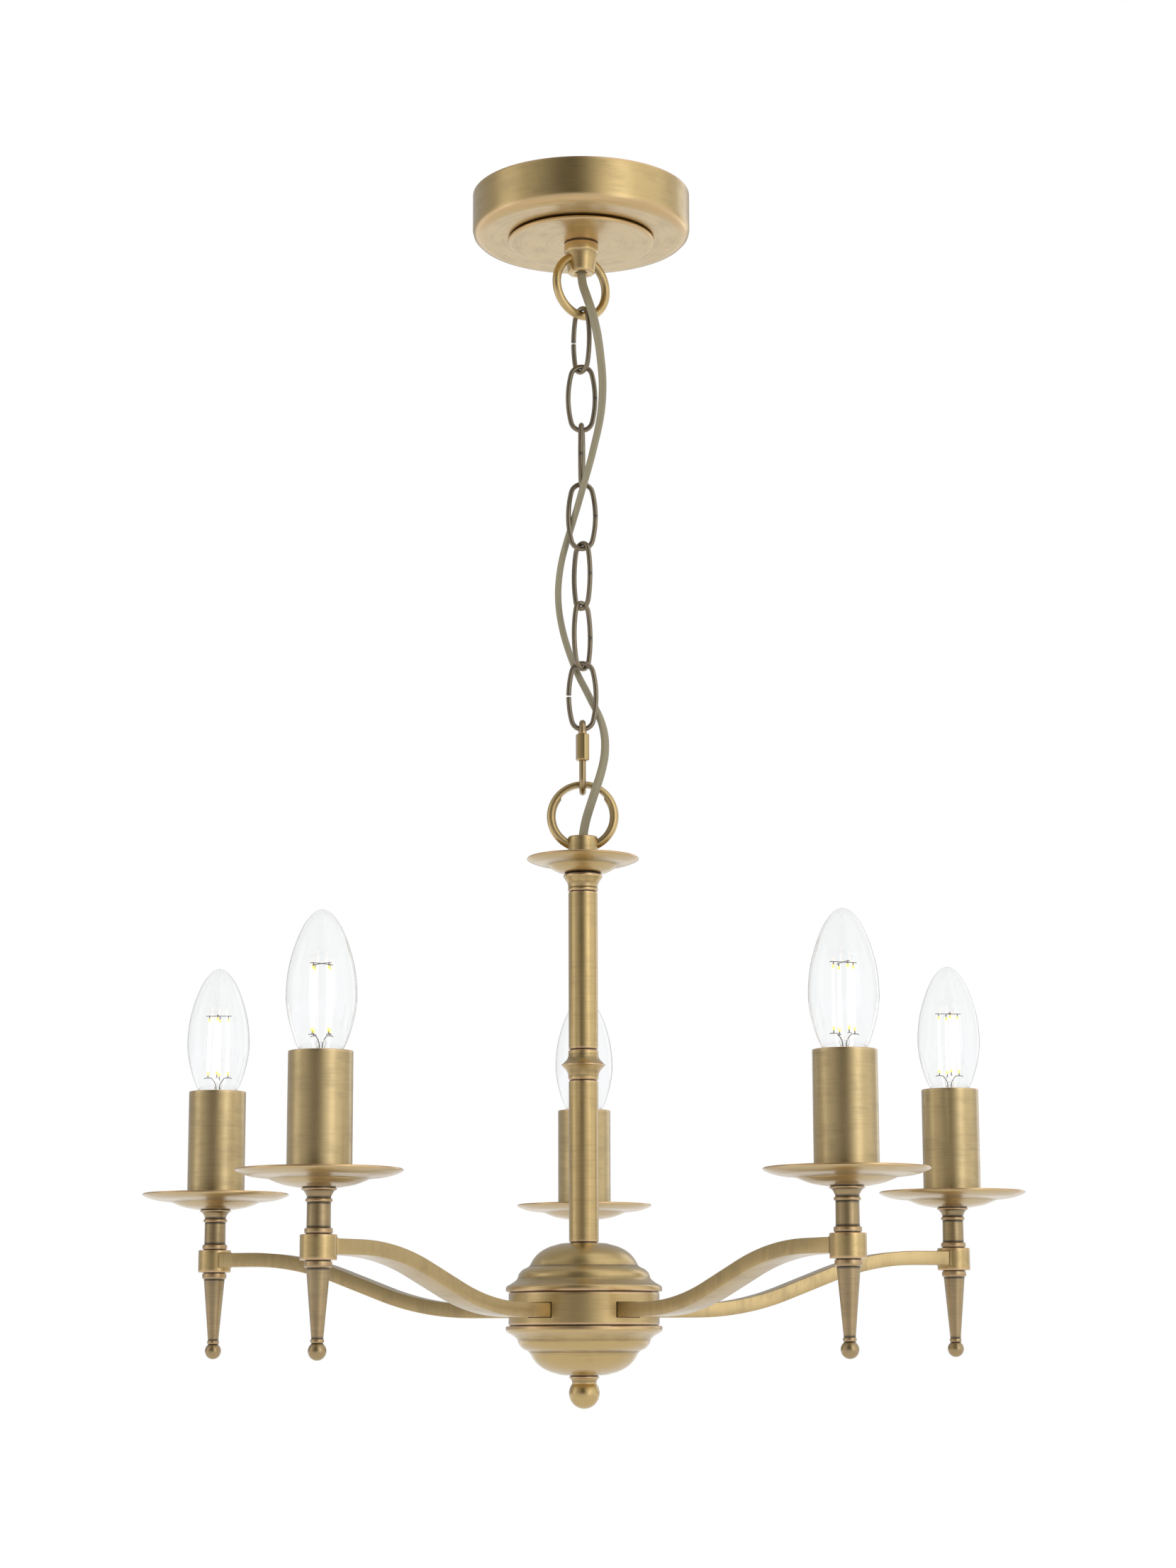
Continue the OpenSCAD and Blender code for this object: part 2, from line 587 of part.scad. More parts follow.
// the line, shifted sideways by s
function arm_line(from, to, s, n = 10) = concat([[from, arm_z + s]],
    arc(bend_start, arm_z + arm_bend_r, arm_bend_r - s, 270, 270 + arm_slope, n),
    arc(bend_end, collar_z - arm_bend_r, arm_bend_r + s, 90 + arm_slope, 90, n), [[to, collar_z + s]]);
module arm(k) {
    spigot_hole = spigot_d + 2*fit;
    collar_in = arm_reach - collar_d/2 + 1;
    color(brass) at_arm(k) difference() {
        union() {
            bar(arm_in, collar_in, arm_t, arm_w);
            translate([arm_reach, 0, 0]) turned([[0, collar_bottom], [collar_d/2 - 0.4, collar_bottom],
                [collar_d/2, collar_bottom + 0.4], [collar_d/2, collar_top - 0.4], [collar_d/2 - 0.4, collar_top],
                [0, collar_top]]);
        }
        bar(arm_in - cut, arm_reach, arm_t - 2*arm_wall, arm_w - 2*arm_wall);
        translate([arm_reach, 0, 0]) bore(spigot_hole, collar_top + cut, collar_bottom - cut);
    }
}
module bar(from, to, t, w) {
    rotate([90, 0, 0]) translate([0, 0, -w/2]) linear_extrude(w)
        polygon(concat(arm_line(from, to, t/2), turned_back(arm_line(from, to, -t/2))));
}
module arm_leads() {
    turn_r = 3.6;
    drop_x = ring_block_out - 5;
    line = arm_line(drop_x + turn_r + 1, arm_reach - turn_r, 0, 5);
    start = turned_back(arc(drop_x + turn_r, arm_z - turn_r, turn_r, 90, 180, 4));
    rise = arc(arm_reach - turn_r, collar_z + turn_r, turn_r, -90, 0, 4);
    side = concat([[drop_x, ring_block_top - 5]], start, line, rise, [[arm_reach, pan_floor + 8]]);
    color("dimgray") each_arm() swept([for (q = side) [q.x, 0, q.y]], lead_d);
}

// ---- candles
drop_stud = collar_bottom + 3.4;
module candle_stems() {
    n = stem_neck_d/2;
    t = stem_top_d/2;
    c = collar_top;
    f = pan_floor;
    color(brass) each_candle() difference() {
        union() {
            turned(concat([[0, c], [n + 0.6, c], [n + 1, c + 0.4], [n + 1, c + 2.6], [n + 0.6, c + 3],
                [n, c + 3.3], [n - 0.1, f - 7.4], [n + 0.7, f - 7], [n + 0.7, f - 5.8], [n, f - 5.4]],
                curve([[n, f - 4.6], [n + 0.8, f - 3], [t - 1.2, f - 1.8], [t - 0.3, f - 1.4]]),
                [[t, f - 1], [t, f - 0.3], [t - 0.3, f], [0, f]]));
            bore(spigot_d, f + 13, f);
            bore(spigot_d, c, drop_stud + 0.2);
        }
        bore(stem_bore, f + 14, drop_stud - cut);
        translate([-spigot_d, -2, collar_z - 2.2]) cube([spigot_d, 4, collar_top - collar_z + 1.6]);
    }
}
module drip_pan(k) { at_candle(k) pan(pan_rim, pan_d/2, pan_d*0.3, pan_depth, 3.8); }
candle_foot = pan_floor + pan_wall + 2.1;
module candle_tube(k) {
    color(brass) at_candle(k) difference() {
        bore(candle_d, candle_top, candle_foot);
        bore(candle_d - 2*candle_wall, candle_top + cut, candle_foot - cut);
    }
}
holder_top = candle_top - 4;
cap_top = candle_top - 8;
cap_bottom = cap_top - cap_l;
neck_out = 2.2;       // how far the glass stands out past the cap at the lampholder's mouth
module lampholders() {
    foot = pan_floor + pan_wall;
    color("whitesmoke") each_candle() difference() {
        union() {
            bore(holder_d, holder_top, foot + 18);
            turned([[0, foot], [7.5, foot], [7.5, foot + 12], [holder_d/2 - 1.5, foot + 18], [0, foot + 18]]);
        }
        bore(cap_d + 2*cap_play, holder_top + cut, cap_bottom - 0.4);
        bore(cap_d + 2*neck_out + 2, holder_top + cut, cap_top - cap_play);
        bore(spigot_d + 2*fit, foot + 12.2, foot - cut);
        bore(stem_bore, cap_bottom - 4, foot);
    }
}
// outside of a lamp's glass: height above the cap, with the tip rounded
glass_shape = [[0.623, 0.109], [0.737, 0.167], [0.834, 0.231], [0.926, 0.308], [0.983, 0.385], [1, 0.449],
    [0.983, 0.538], [0.92, 0.641], [0.8, 0.744], [0.68, 0.82], [0.549, 0.885], [0.406, 0.936], [0.251, 0.974],
    [0.126, 0.992]];
function glass_side() = let (r = lamp_d/2, h = lamp_top - cap_top) curve(concat([[cap_d/2 + 0.6, 0],
    [cap_d/2 + neck_out, h*0.05]], [for (q = glass_shape) [q.x*r, q.y*h]], [[0.01, h]]), 2);
module bulb_glass(k) {
    side = glass_side();
    color("white", 0.35) at_candle(k) translate([0, 0, cap_top])
        turned(concat([[0, 0]], side, [[0, lamp_top - cap_top]]));
}
module bulb_cap(k) {
    contact_r = 4;
    color("silver") at_candle(k) union() {
        bore(cap_d, cap_top, cap_bottom + 4);
        translate([0, 0, cap_bottom + 1]) cylinder(h = 3, r1 = contact_r, r2 = cap_d/2 - 0.6);
        bore(2*contact_r - 2, cap_bottom + 1, cap_bottom);
    }
}
module drop_finials() {
    c = collar_bottom;
    ball_r = drop_ball_d/2;
    end = c - drop_l;
    color(dark_brass) each_candle() union() {
        turned([[0, c], [6.4, c], [6.75, c - 0.4], [6.75, c - 3], [6.4, c - 3.5], [5.8, c - 3.7],
            [2.9, end + 10.2], [3.3, end + 9.8], [3.3, end + 8.8], [2.8, end + 8.2], [2.6, end + 7.4], [0, end + 7.4]]);
        translate([0, 0, end + ball_r]) sphere(ball_r);
        bore(stem_bore - 2*fit, drop_stud, c);
    }
}

ceiling_bracket();
bracket_nut();
canopy_nipple();
canopy();
canopy_disc();
top_loop();
terminal_block();
supply_tails();
for (k = [1:link_count]) chain_link(k);
quick_link();
quick_link_nut();
flex();
lower_loop();
column_pan();
column_capital();
upper_tube();
column_knuckle();
lower_tube();
centre_rod();
hub_top_dome();
hub_band();
hub_bottom_dome();
hub_nut();
bottom_finial();
hub_terminal_ring();
arm_leads();
for (k = [1:arm_count]) {
    arm(k);
    drip_pan(k);
    candle_tube(k);
    bulb_glass(k);
    bulb_cap(k);
}
candle_stems();
lampholders();
drop_finials();
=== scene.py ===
import math
import bmesh
import bpy
from mathutils import Matrix, Vector
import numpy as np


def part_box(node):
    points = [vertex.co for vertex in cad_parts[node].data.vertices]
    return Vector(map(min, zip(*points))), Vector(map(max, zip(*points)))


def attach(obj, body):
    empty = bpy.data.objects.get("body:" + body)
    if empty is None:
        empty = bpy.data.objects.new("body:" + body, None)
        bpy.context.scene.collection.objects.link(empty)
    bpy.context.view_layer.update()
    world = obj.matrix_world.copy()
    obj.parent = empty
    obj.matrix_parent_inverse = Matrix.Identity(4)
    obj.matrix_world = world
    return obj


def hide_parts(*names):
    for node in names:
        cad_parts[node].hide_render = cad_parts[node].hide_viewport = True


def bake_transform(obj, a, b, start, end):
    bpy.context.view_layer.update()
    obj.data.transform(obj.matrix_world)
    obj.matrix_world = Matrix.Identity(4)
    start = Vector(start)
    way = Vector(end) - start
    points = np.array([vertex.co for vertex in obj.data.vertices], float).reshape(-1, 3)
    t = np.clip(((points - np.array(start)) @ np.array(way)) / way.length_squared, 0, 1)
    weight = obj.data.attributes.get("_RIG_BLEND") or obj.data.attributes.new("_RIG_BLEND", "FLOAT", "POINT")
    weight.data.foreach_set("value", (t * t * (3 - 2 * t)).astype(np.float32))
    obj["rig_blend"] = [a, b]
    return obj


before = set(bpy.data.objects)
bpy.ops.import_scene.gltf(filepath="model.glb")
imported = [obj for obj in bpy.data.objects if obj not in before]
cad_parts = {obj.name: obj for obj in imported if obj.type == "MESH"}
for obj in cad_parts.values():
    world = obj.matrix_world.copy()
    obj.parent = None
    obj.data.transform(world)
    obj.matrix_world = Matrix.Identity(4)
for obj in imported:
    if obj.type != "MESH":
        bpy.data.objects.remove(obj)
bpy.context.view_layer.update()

scene = bpy.context.scene
mm = 0.001


def zTop(node):
    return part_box(node)[1][2] / mm


def zBottom(node):
    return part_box(node)[0][2] / mm


# the camera stands low in front of the fitting and looks up a little
view = {"lens": 71.26, "sensor": 36, "farClip": 50, "place": (0.00297, -1.6935, -0.65), "tiltUp": 10.28,
        "roll": -0.174}
cameraData = bpy.data.cameras.new("camera")
cameraData.lens, cameraData.sensor_width, cameraData.clip_end = view["lens"], view["sensor"], view["farClip"]
camera = bpy.data.objects.new("camera", cameraData)
camera.matrix_world = (Matrix.Translation(view["place"])
                       @ Matrix.Rotation(math.radians(90 + view["tiltUp"]), 4, "X")
                       @ Matrix.Rotation(math.radians(view["roll"]), 4, "Z"))
scene.collection.objects.link(camera)
scene.camera = camera
scene.view_settings.view_transform = "Standard"
print("camera")


# shader nodes, and the groups that the materials share
def nodeIn(tree, kind, **settings):
    node = tree.nodes.new(kind)
    for key, value in settings.items():
        setattr(node, key, value)
    return node


def feed(tree, socket, value):
    # a number or a colour is set on the socket, another node's output is linked to it
    if isinstance(value, (int, float)):
        socket.default_value = value
    elif isinstance(value, tuple):
        socket.default_value = (*value, 1)
    else:
        tree.links.new(value, socket)


def setSockets(tree, node, values):
    for key, value in values.items():
        if value is not None:
            feed(tree, node.inputs[key], value)


def mathNode(tree, operation, first, second=None, clamp=False):
    node = nodeIn(tree, "ShaderNodeMath", operation=operation, use_clamp=clamp)
    setSockets(tree, node, {0: first, 1: second})
    return node.outputs[0]


def times(tree, first, second):
    return mathNode(tree, "MULTIPLY", first, second)


def plus(tree, first, second, clamp=False):
    return mathNode(tree, "ADD", first, second, clamp)


def minus(tree, first, second, clamp=False):
    return mathNode(tree, "SUBTRACT", first, second, clamp)


def mixColor(tree, factor, first, second):
    node = nodeIn(tree, "ShaderNodeMix", data_type="RGBA")
    setSockets(tree, node, {0: factor, 6: first, 7: second})
    return node.outputs[2]


def axesOf(tree, vector):
    split = nodeIn(tree, "ShaderNodeSeparateXYZ")
    feed(tree, split.inputs[0], vector)
    return split.outputs


def noiseNode(tree, vector, w=None, scale=1.0, detail=2.0, roughness=0.5):
    node = nodeIn(tree, "ShaderNodeTexNoise", noise_dimensions="3D" if w is None else "4D")
    setSockets(tree, node, {"Vector": vector, "W": w, "Scale": scale, "Detail": detail, "Roughness": roughness})
    return node.outputs[0]


def newGroup(name, inputs, outputs):
    tree = bpy.data.node_groups.new(name, "ShaderNodeTree")
    for way, sockets in (("INPUT", inputs), ("OUTPUT", outputs)):
        for label, kind in sockets.items():
            tree.interface.new_socket(name=label, in_out=way, socket_type="NodeSocket" + kind)
    return tree, nodeIn(tree, "NodeGroupInput").outputs, nodeIn(tree, "NodeGroupOutput").inputs


# how slowly the grain changes along its lines, and how much coarser the bands are than the lines
grains = {"turned": {"along": 60.0, "bands": 0.12}, "brushed": {"along": 90.0, "bands": 0.15}}


def grainGroup(kind):
    # turned: fine rings along the height and the radius, nearly even round the axis
    # brushed: belt lines, fine across the first axis and long along the other two
    turned, along = kind == "turned", grains[kind]["along"]
    tree, inside, outside = newGroup(kind + "Grain", {"Place": "Vector", "Fine": "Float"},
                                     {"Lines": "Float", "Bands": "Float"})
    axes = x, y, z = axesOf(tree, inside["Place"])
    if turned:
        radius = mathNode(tree, "SQRT", plus(tree, times(tree, x, x), times(tree, y, y)))
    for label, share, detail in (("Lines", 1.0, 3.0), ("Bands", grains[kind]["bands"], 2.0)):
        pitch = times(tree, inside["Fine"], share)
        vector = nodeIn(tree, "ShaderNodeCombineXYZ")
        scales = (along, along, pitch) if turned else (pitch, along, along)
        for socket, axis, scale in zip(vector.inputs, axes, scales):
            feed(tree, socket, times(tree, axis, scale))
        lines = noiseNode(tree, vector.outputs[0], times(tree, radius, pitch) if turned else None,
                          detail=detail, roughness=0.6)
        feed(tree, outside[label], lines)
    return tree


# recessGain pulls the concave corners and seams towards the recess colour, partly tarnish and partly painted shade
patinaAndShadeLook = {"cloudScale": 70, "cloudDetail": 4, "cloudRough": 0.55, "cloudFrom": 0.42, "speckScale": 900,
              "lineShade": 0.5, "bandShade": 0.45, "recessGain": -1.3, "edgeGain": 0.9, "speckBite": 0.35,
              "recessDull": 0.22, "cloudDull": 0.12}


def patinaAndShadeGroup():
    # colour from the dark brown recess colour, which is tarnish and painted shade in the hollows and seams, to the
    # worn edge, with cloudy staining
    p = patinaAndShadeLook
    tree, inside, outside = newGroup(
        "patinaAndShade", {"Place": "Vector", "Wear": "Float", "Lines": "Float", "Bands": "Float", "Base": "Color",
                   "Recess": "Color", "Edge": "Color", "Stain": "Float"}, {"Color": "Color", "Gloss": "Float"})
    cloud = noiseNode(tree, inside["Place"], None, p["cloudScale"], p["cloudDetail"], p["cloudRough"])
    speck = noiseNode(tree, inside["Place"], scale=p["speckScale"])
    cloudMask = times(tree, minus(tree, cloud, p["cloudFrom"], clamp=True), inside["Stain"])
    lineShade = times(tree, minus(tree, inside["Lines"], 0.5), p["lineShade"])
    bandShade = times(tree, minus(tree, inside["Bands"], 0.5), p["bandShade"])
    shade = plus(tree, plus(tree, lineShade, bandShade), cloudMask)
    # low: the recess darkening, painted shade and tarnish, with the grain lines, bands and stains added
    low = plus(tree, times(tree, inside["Wear"], p["recessGain"]), shade, clamp=True)
    bright = times(tree, inside["Wear"], p["edgeGain"])
    high = minus(tree, bright, times(tree, speck, p["speckBite"]), clamp=True)
    agedAndShaded = mixColor(tree, low, inside["Base"], inside["Recess"])
    feed(tree, outside["Color"], mixColor(tree, high, agedAndShaded, inside["Edge"]))
    dull = times(tree, low, p["recessDull"])
    feed(tree, outside["Gloss"], plus(tree, dull, times(tree, cloud, p["cloudDull"])))
    return tree


def mottleGroup():
    # slow colour drift and a fine texture for plastic, glass fittings and plated steel
    tree, inside, outside = newGroup("mottle", {"Place": "Vector", "Coarse": "Float", "Fine": "Float"},
                                     {"Drift": "Float", "Grain": "Float"})
    for label, size, detail in (("Drift", "Coarse", 3.0), ("Grain", "Fine", 2.0)):
        feed(tree, outside[label], noiseNode(tree, inside["Place"], scale=inside[size], detail=detail))
    return tree


groups = {"turned": grainGroup("turned"), "brushed": grainGroup("brushed"), "patinaAndShade": patinaAndShadeGroup(),
          "mottle": mottleGroup()}


def placeGroup(tree, kind, **values):
    node = nodeIn(tree, "ShaderNodeGroup", node_tree=groups[kind])
    setSockets(tree, node, values)
    return node.outputs


def newMaterial(name):
    material = bpy.data.materials.new(name)
    material.use_nodes = True
    tree = material.node_tree
    return material, tree, tree.nodes["Principled BSDF"]


def attributeOutput(tree, name, output):
    return nodeIn(tree, "ShaderNodeAttribute", attribute_name=name).outputs[output]


def addBump(tree, shader, height, strength, depth):
    bump = nodeIn(tree, "ShaderNodeBump")
    setSockets(tree, bump, {"Strength": strength, "Distance": depth, "Height": height})
    feed(tree, shader.inputs["Normal"], bump.outputs[0])


# grain and fine: grain kind and line pitch; base: the brass colour; recess: the dark colour of hollows and seams,
# partly tarnish and partly painted shade; edge: worn edges; stain, rough, bump: staining, roughness and bump strength
brassKeys = ("grain", "fine", "base", "recess", "edge", "stain", "rough", "bump")
brassTones = {
    "satinBrass": ("turned", 2200.0, (0.6, 0.435, 0.18), (0.07, 0.048, 0.025), (0.78, 0.52, 0.29), 0.45, 0.22, 0.35),
    "armBrass": ("brushed", 2400.0, (0.55, 0.405, 0.175), (0.16, 0.115, 0.06), (0.8, 0.51, 0.26), 0.9, 0.26, 0.4),
    "paleBrass": ("turned", 2200.0, (0.57, 0.43, 0.2), (0.12, 0.09, 0.05), (0.76, 0.54, 0.31), 0.7, 0.24, 0.35),
    "agedBrass": ("turned", 1400.0, (0.42, 0.305, 0.145), (0.09, 0.072, 0.045), (0.64, 0.43, 0.22), 0.6, 0.24, 0.25),
    "wireBrass": ("brushed", 110.0, (0.26, 0.21, 0.13), (0.12, 0.1, 0.07), (0.66, 0.43, 0.2), 0.4, 0.24, 0.05),
}


brassFinish = {"coat": 0.9, "coatRough": 0.22, "lineRough": 0.1, "bumpDepth": 0.00004}


def brassMaterial(name):
    tone, finish = dict(zip(brassKeys, brassTones[name])), brassFinish
    material, tree, shader = newMaterial(name)
    place, wear = attributeOutput(tree, "place", "Vector"), attributeOutput(tree, "wear", "Fac")
    lines, bands = placeGroup(tree, tone["grain"], Place=place, Fine=tone["fine"])
    color, gloss = placeGroup(tree, "patinaAndShade", Place=place, Wear=wear, Lines=lines, Bands=bands,
                              Base=tone["base"], Recess=tone["recess"], Edge=tone["edge"], Stain=tone["stain"])
    rough = plus(tree, plus(tree, gloss, times(tree, lines, finish["lineRough"])), tone["rough"])
    setSockets(tree, shader, {"Base Color": color, "Roughness": rough, "Metallic": 1,
                              "Coat Weight": finish["coat"], "Coat Roughness": finish["coatRough"]})
    addBump(tree, shader, lines, tone["bump"], finish["bumpDepth"])
    return material


plainKeys = ("color", "shade", "rough", "metal", "coarse", "fine", "bump")
plainTones = {
    "zincSteel": ((0.55, 0.56, 0.57), (0.34, 0.35, 0.37), 0.32, 1.0, 60.0, 2500.0, 0.12),
    "whitePlastic": ((0.82, 0.81, 0.77), (0.7, 0.68, 0.62), 0.42, 0.0, 45.0, 1800.0, 0.1),
    "ivoryPlastic": ((0.8, 0.76, 0.66), (0.66, 0.61, 0.5), 0.38, 0.0, 60.0, 1500.0, 0.08),
    "brownSleeve": ((0.19, 0.085, 0.04), (0.11, 0.05, 0.025), 0.45, 0.0, 90.0, 2200.0, 0.1),
    "oliveFlex": ((0.33, 0.29, 0.185), (0.255, 0.225, 0.14), 0.33, 0.0, 40.0, 1600.0, 0.12),
    "nickelCap": ((0.68, 0.67, 0.64), (0.45, 0.44, 0.42), 0.24, 1.0, 120.0, 2600.0, 0.08),
    "frameWire": ((0.15, 0.125, 0.1), (0.07, 0.06, 0.05), 0.35, 1.0, 300.0, 3000.0, 0.05),
    "palePaint": ((0.8, 0.785, 0.775), (0.77, 0.755, 0.745), 0.7, 0.0, 1.2, 90.0, 0.02),
}


plainFinish = {"grainRough": 0.14, "roughBelow": 0.05, "bumpDepth": 0.0001}


def mottled(tree, tone):
    coords = nodeIn(tree, "ShaderNodeTexCoord").outputs["Object"]
    drift, grain = placeGroup(tree, "mottle", Place=coords, Coarse=tone["coarse"], Fine=tone["fine"])
    return mixColor(tree, drift, tone["color"], tone["shade"]), grain


def plainMaterial(name):
    tone, finish = dict(zip(plainKeys, plainTones[name])), plainFinish
    material, tree, shader = newMaterial(name)
    color, grain = mottled(tree, tone)
    rough = plus(tree, times(tree, grain, finish["grainRough"]), tone["rough"] - finish["roughBelow"])
    setSockets(tree, shader, {"Base Color": color, "Roughness": rough, "Metallic": tone["metal"]})
    addBump(tree, shader, grain, tone["bump"], finish["bumpDepth"])
    return material


glassTone = {"coarse": 55.0, "fine": 600.0, "color": (0.985, 0.99, 0.99), "shade": (0.955, 0.965, 0.97),
             "ior": 1.47}


def glassMaterial(name, roughness):
    material, tree, shader = newMaterial(name)
    color, grain = mottled(tree, glassTone)
    setSockets(tree, shader, {"Base Color": color, "Roughness": times(tree, grain, roughness),
                              "Transmission Weight": 1, "IOR": glassTone["ior"]})
    return material


glowTone = {"coarse": 900.0, "fine": 2500.0, "color": (0.85, 0.55, 0.12), "shade": (0.78, 0.48, 0.10),
            "litColor": (0.95, 0.9, 0.8), "coldGlow": (0.75, 0.42, 0.08), "litGlow": (1.0, 0.93, 0.80),
            "strength": 2.6, "rough": 0.5}


def glowMaterial(name):
    # the phosphor rods: white along their lit length, where wear is 1, and yellow at their cold ends
    tone = glowTone
    material, tree, shader = newMaterial(name)
    lit = attributeOutput(tree, "wear", "Fac")
    setSockets(tree, shader, {"Base Color": mixColor(tree, lit, mottled(tree, tone)[0], tone["litColor"]),
                              "Emission Color": mixColor(tree, lit, tone["coldGlow"], tone["litGlow"]),
                              "Emission Strength": tone["strength"], "Roughness": tone["rough"]})
    return material


materials = {name: brassMaterial(name) for name in brassTones}
materials.update({name: plainMaterial(name) for name in plainTones})
materials["clearGlass"] = glassMaterial("clearGlass", 0.02)
materials["stemGlass"] = glassMaterial("stemGlass", 0.06)
materials["phosphor"] = glowMaterial("phosphor")
print("materials", len(materials))


# modelling helpers: lengths are in mm until finishPiece
def shifted(x, y, z):
    return Matrix.Translation((x, y, z))


def rotated(angle, axis="Z"):
    return Matrix.Rotation(angle, 4, axis)


def smoothLine(points, count=4):
    # Catmull-Rom points between the given ones
    line, last = [], len(points) - 1
    for i in range(last):
        a, b, c, d = (Vector(points[min(max(i + k, 0), last)]) for k in (-1, 0, 1, 2))
        for k in range(count):
            t = k / count
            line.append(tuple((2 * b + (c - a) * t + (2 * a - 5 * b + 4 * c - d) * t * t
                               + (3 * b - a - 3 * c + d) * t ** 3) / 2))
    return line + [tuple(points[-1])]


def ballArc(radius, middle, first, step):
    # from first degrees above the middle down to the foot
    return [(radius * math.cos(math.radians(a)), middle + radius * math.sin(math.radians(a)))
            for a in range(first, -90, step)]


seam = {"depth": 0.6, "gap": 0.65, "corner": 0.12}


def seamTop(r, z):
    # a fine step at the head of a piece, where it meets the next one; its inner points get wear -1, the full dark
    # recess colour, a painted shade line in the joint
    inner, low = r - seam["depth"], z - seam["gap"]
    return [(inner, z, 0, -1), (inner, low, 0, -1), (r, low, seam["corner"])]


def seamLow(r, z):
    # the same step at the foot of a piece, with the same painted shade line
    inner, high = r - seam["depth"], z + seam["gap"]
    return [(r, high, seam["corner"]), (inner, high, 0, -1), (inner, z, 0, -1)]


def within(value, low=-1.0, high=1.0):
    return max(low, min(high, value))


def edgesOf(geom):
    return [g for g in geom if isinstance(g, bmesh.types.BMEdge)]


def vertsOf(geom):
    return [g for g in geom if isinstance(g, bmesh.types.BMVert)]


def newBody():
    # the wear layer: above 0 pulls towards the worn-edge colour, below 0 towards the dark recess colour, tarnish and
    # painted shade in hollows and seams; on the lamp rods it holds the lit share
    bm = bmesh.new()
    bm.verts.layers.float.new("wear")
    return bm


def splitLong(bm, near=1.3):
    # extra points beside the corners of long straight sides, so that the worn-edge colour and the painted recess
    # shade stay near the corners
    for edge in list(bm.edges):
        length, far = edge.calc_length(), edge.verts[1]
        if length < 2 * near:
            continue
        fresh = bmesh.utils.edge_split(edge, edge.verts[0], near / length)[1]
        if length > 3 * near:
            rest = max(fresh.link_edges, key=lambda e: e.calc_length())
            bmesh.utils.edge_split(rest, far, near / rest.calc_length())


def setWear(bm, reach=0.32, gain=1.1):
    # walks round the section and gives each point how sharply it turns nearby: above 0 outside, below 0 inside, where
    # the dark recess colour paints shade as well as tarnish
    start, layer = next(iter(bm.verts)), bm.verts.layers.float["wear"]
    walk, edge = [start], None
    while True:
        edge = next(e for e in walk[-1].link_edges if e is not edge)
        if edge.other_vert(walk[-1]) is start:
            break
        walk.append(edge.other_vert(walk[-1]))
    points = [Vector((v.co.x, v.co.z)) for v in walk]
    count = len(points)
    area = sum(points[i - 1].x * points[i].y - points[i].x * points[i - 1].y for i in range(count))
    along, turns = [0.0], []
    for i in range(1, count):
        along.append(along[-1] + (points[i] - points[i - 1]).length)
    for i in range(count):
        before, after = points[i] - points[i - 1], points[(i + 1) % count] - points[i]
        turn = math.atan2(before.x * after.y - before.y * after.x, before.dot(after))
        turns.append(turn if area > 0 else -turn)
    for i, v in enumerate(walk):
        v[layer] = within(gain * sum(
            turn * math.exp(-((along[i] - s) / reach) ** 2) for turn, s in zip(turns, along) if turn))


def meshWear(bm, gain=1.0):
    # the same measure for any mesh: how far the neighbours lie under the surface, so hollows get the painted recess
    # shade
    layer = bm.verts.layers.float["wear"]
    bm.normal_update()
    for v in bm.verts:
        drop = [v.normal.dot((e.other_vert(v).co - v.co).normalized()) for e in v.link_edges]
        v[layer] = within(-gain * sum(drop) / max(len(drop), 1))


def bevel(bm, geom, size, segments, affect):
    bmesh.ops.bevel(bm, geom=geom, offset=size, offset_type="OFFSET", segments=segments, profile=0.5,
                    affect=affect, material=-1, clamp_overlap=affect == "EDGES")


def bevelSharp(bm, size, segments=2, limit=40):
    edges = [e for e in bm.edges if len(e.link_faces) == 2 and e.calc_face_angle(0) > math.radians(limit)]
    bevel(bm, edges, size, segments, "EDGES")


def spin(bm, geom, angle, steps, centre=(0, 0, 0), axis=(0, -1, 0)):
    # a whole turn is merged where it meets itself
    whole = angle == 2 * math.pi
    out = bmesh.ops.spin(bm, geom=geom, cent=centre, axis=axis, dvec=(0, 0, 0), angle=angle,
                         space=Matrix.Identity(4), steps=steps, use_merge=whole, use_normal_flip=False,
                         use_duplicate=False)
    if whole:
        bmesh.ops.remove_doubles(bm, verts=bm.verts, dist=1e-4)
        bmesh.ops.recalc_face_normals(bm, faces=bm.faces)
    return out["geom_last"]


def turnedBody(section, steps=96):
    # section: (radius, height), then a corner radius and a fixed wear if given (-1 at the seams paints the full
    # recess shade); it is rounded and spun
    bm = newBody()
    verts = [bm.verts.new((p[0], 0, p[1])) for p in section]
    for a, b in zip(verts, verts[1:] + verts[:1]):
        bm.edges.new((a, b))
    fixed = [(v, p[3]) for v, p in zip(verts, section) if len(p) > 3]
    for size in sorted({p[2] for p in section if len(p) > 2 and p[2]}):
        bevel(bm, [v for v, p in zip(verts, section) if len(p) > 2 and p[2] == size], size, 3, "VERTICES")
    splitLong(bm)
    setWear(bm)
    for v, wear in fixed:
        v[bm.verts.layers.float["wear"]] = wear
    spin(bm, bm.verts[:] + bm.edges[:], 2 * math.pi, steps, axis=(0, 0, 1))
    return bm


def pushRing(bm, ring, offset):
    out = bmesh.ops.extrude_edge_only(bm, edges=edgesOf(ring))["geom"]
    bmesh.ops.translate(bm, verts=vertsOf(out), vec=offset)
    return vertsOf(out) + edgesOf(out)


def roundRing(bm, radius, matrix=Matrix.Identity(4), sides=16):
    verts = bmesh.ops.create_circle(bm, segments=sides, radius=radius, matrix=matrix)["verts"]
    return verts + list(dict.fromkeys(e for v in verts for e in v.link_edges))


def capEnds(bm, *rings):
    for ring in rings:
        bmesh.ops.contextual_create(bm, geom=edgesOf(ring))
    bmesh.ops.recalc_face_normals(bm, faces=bm.faces)


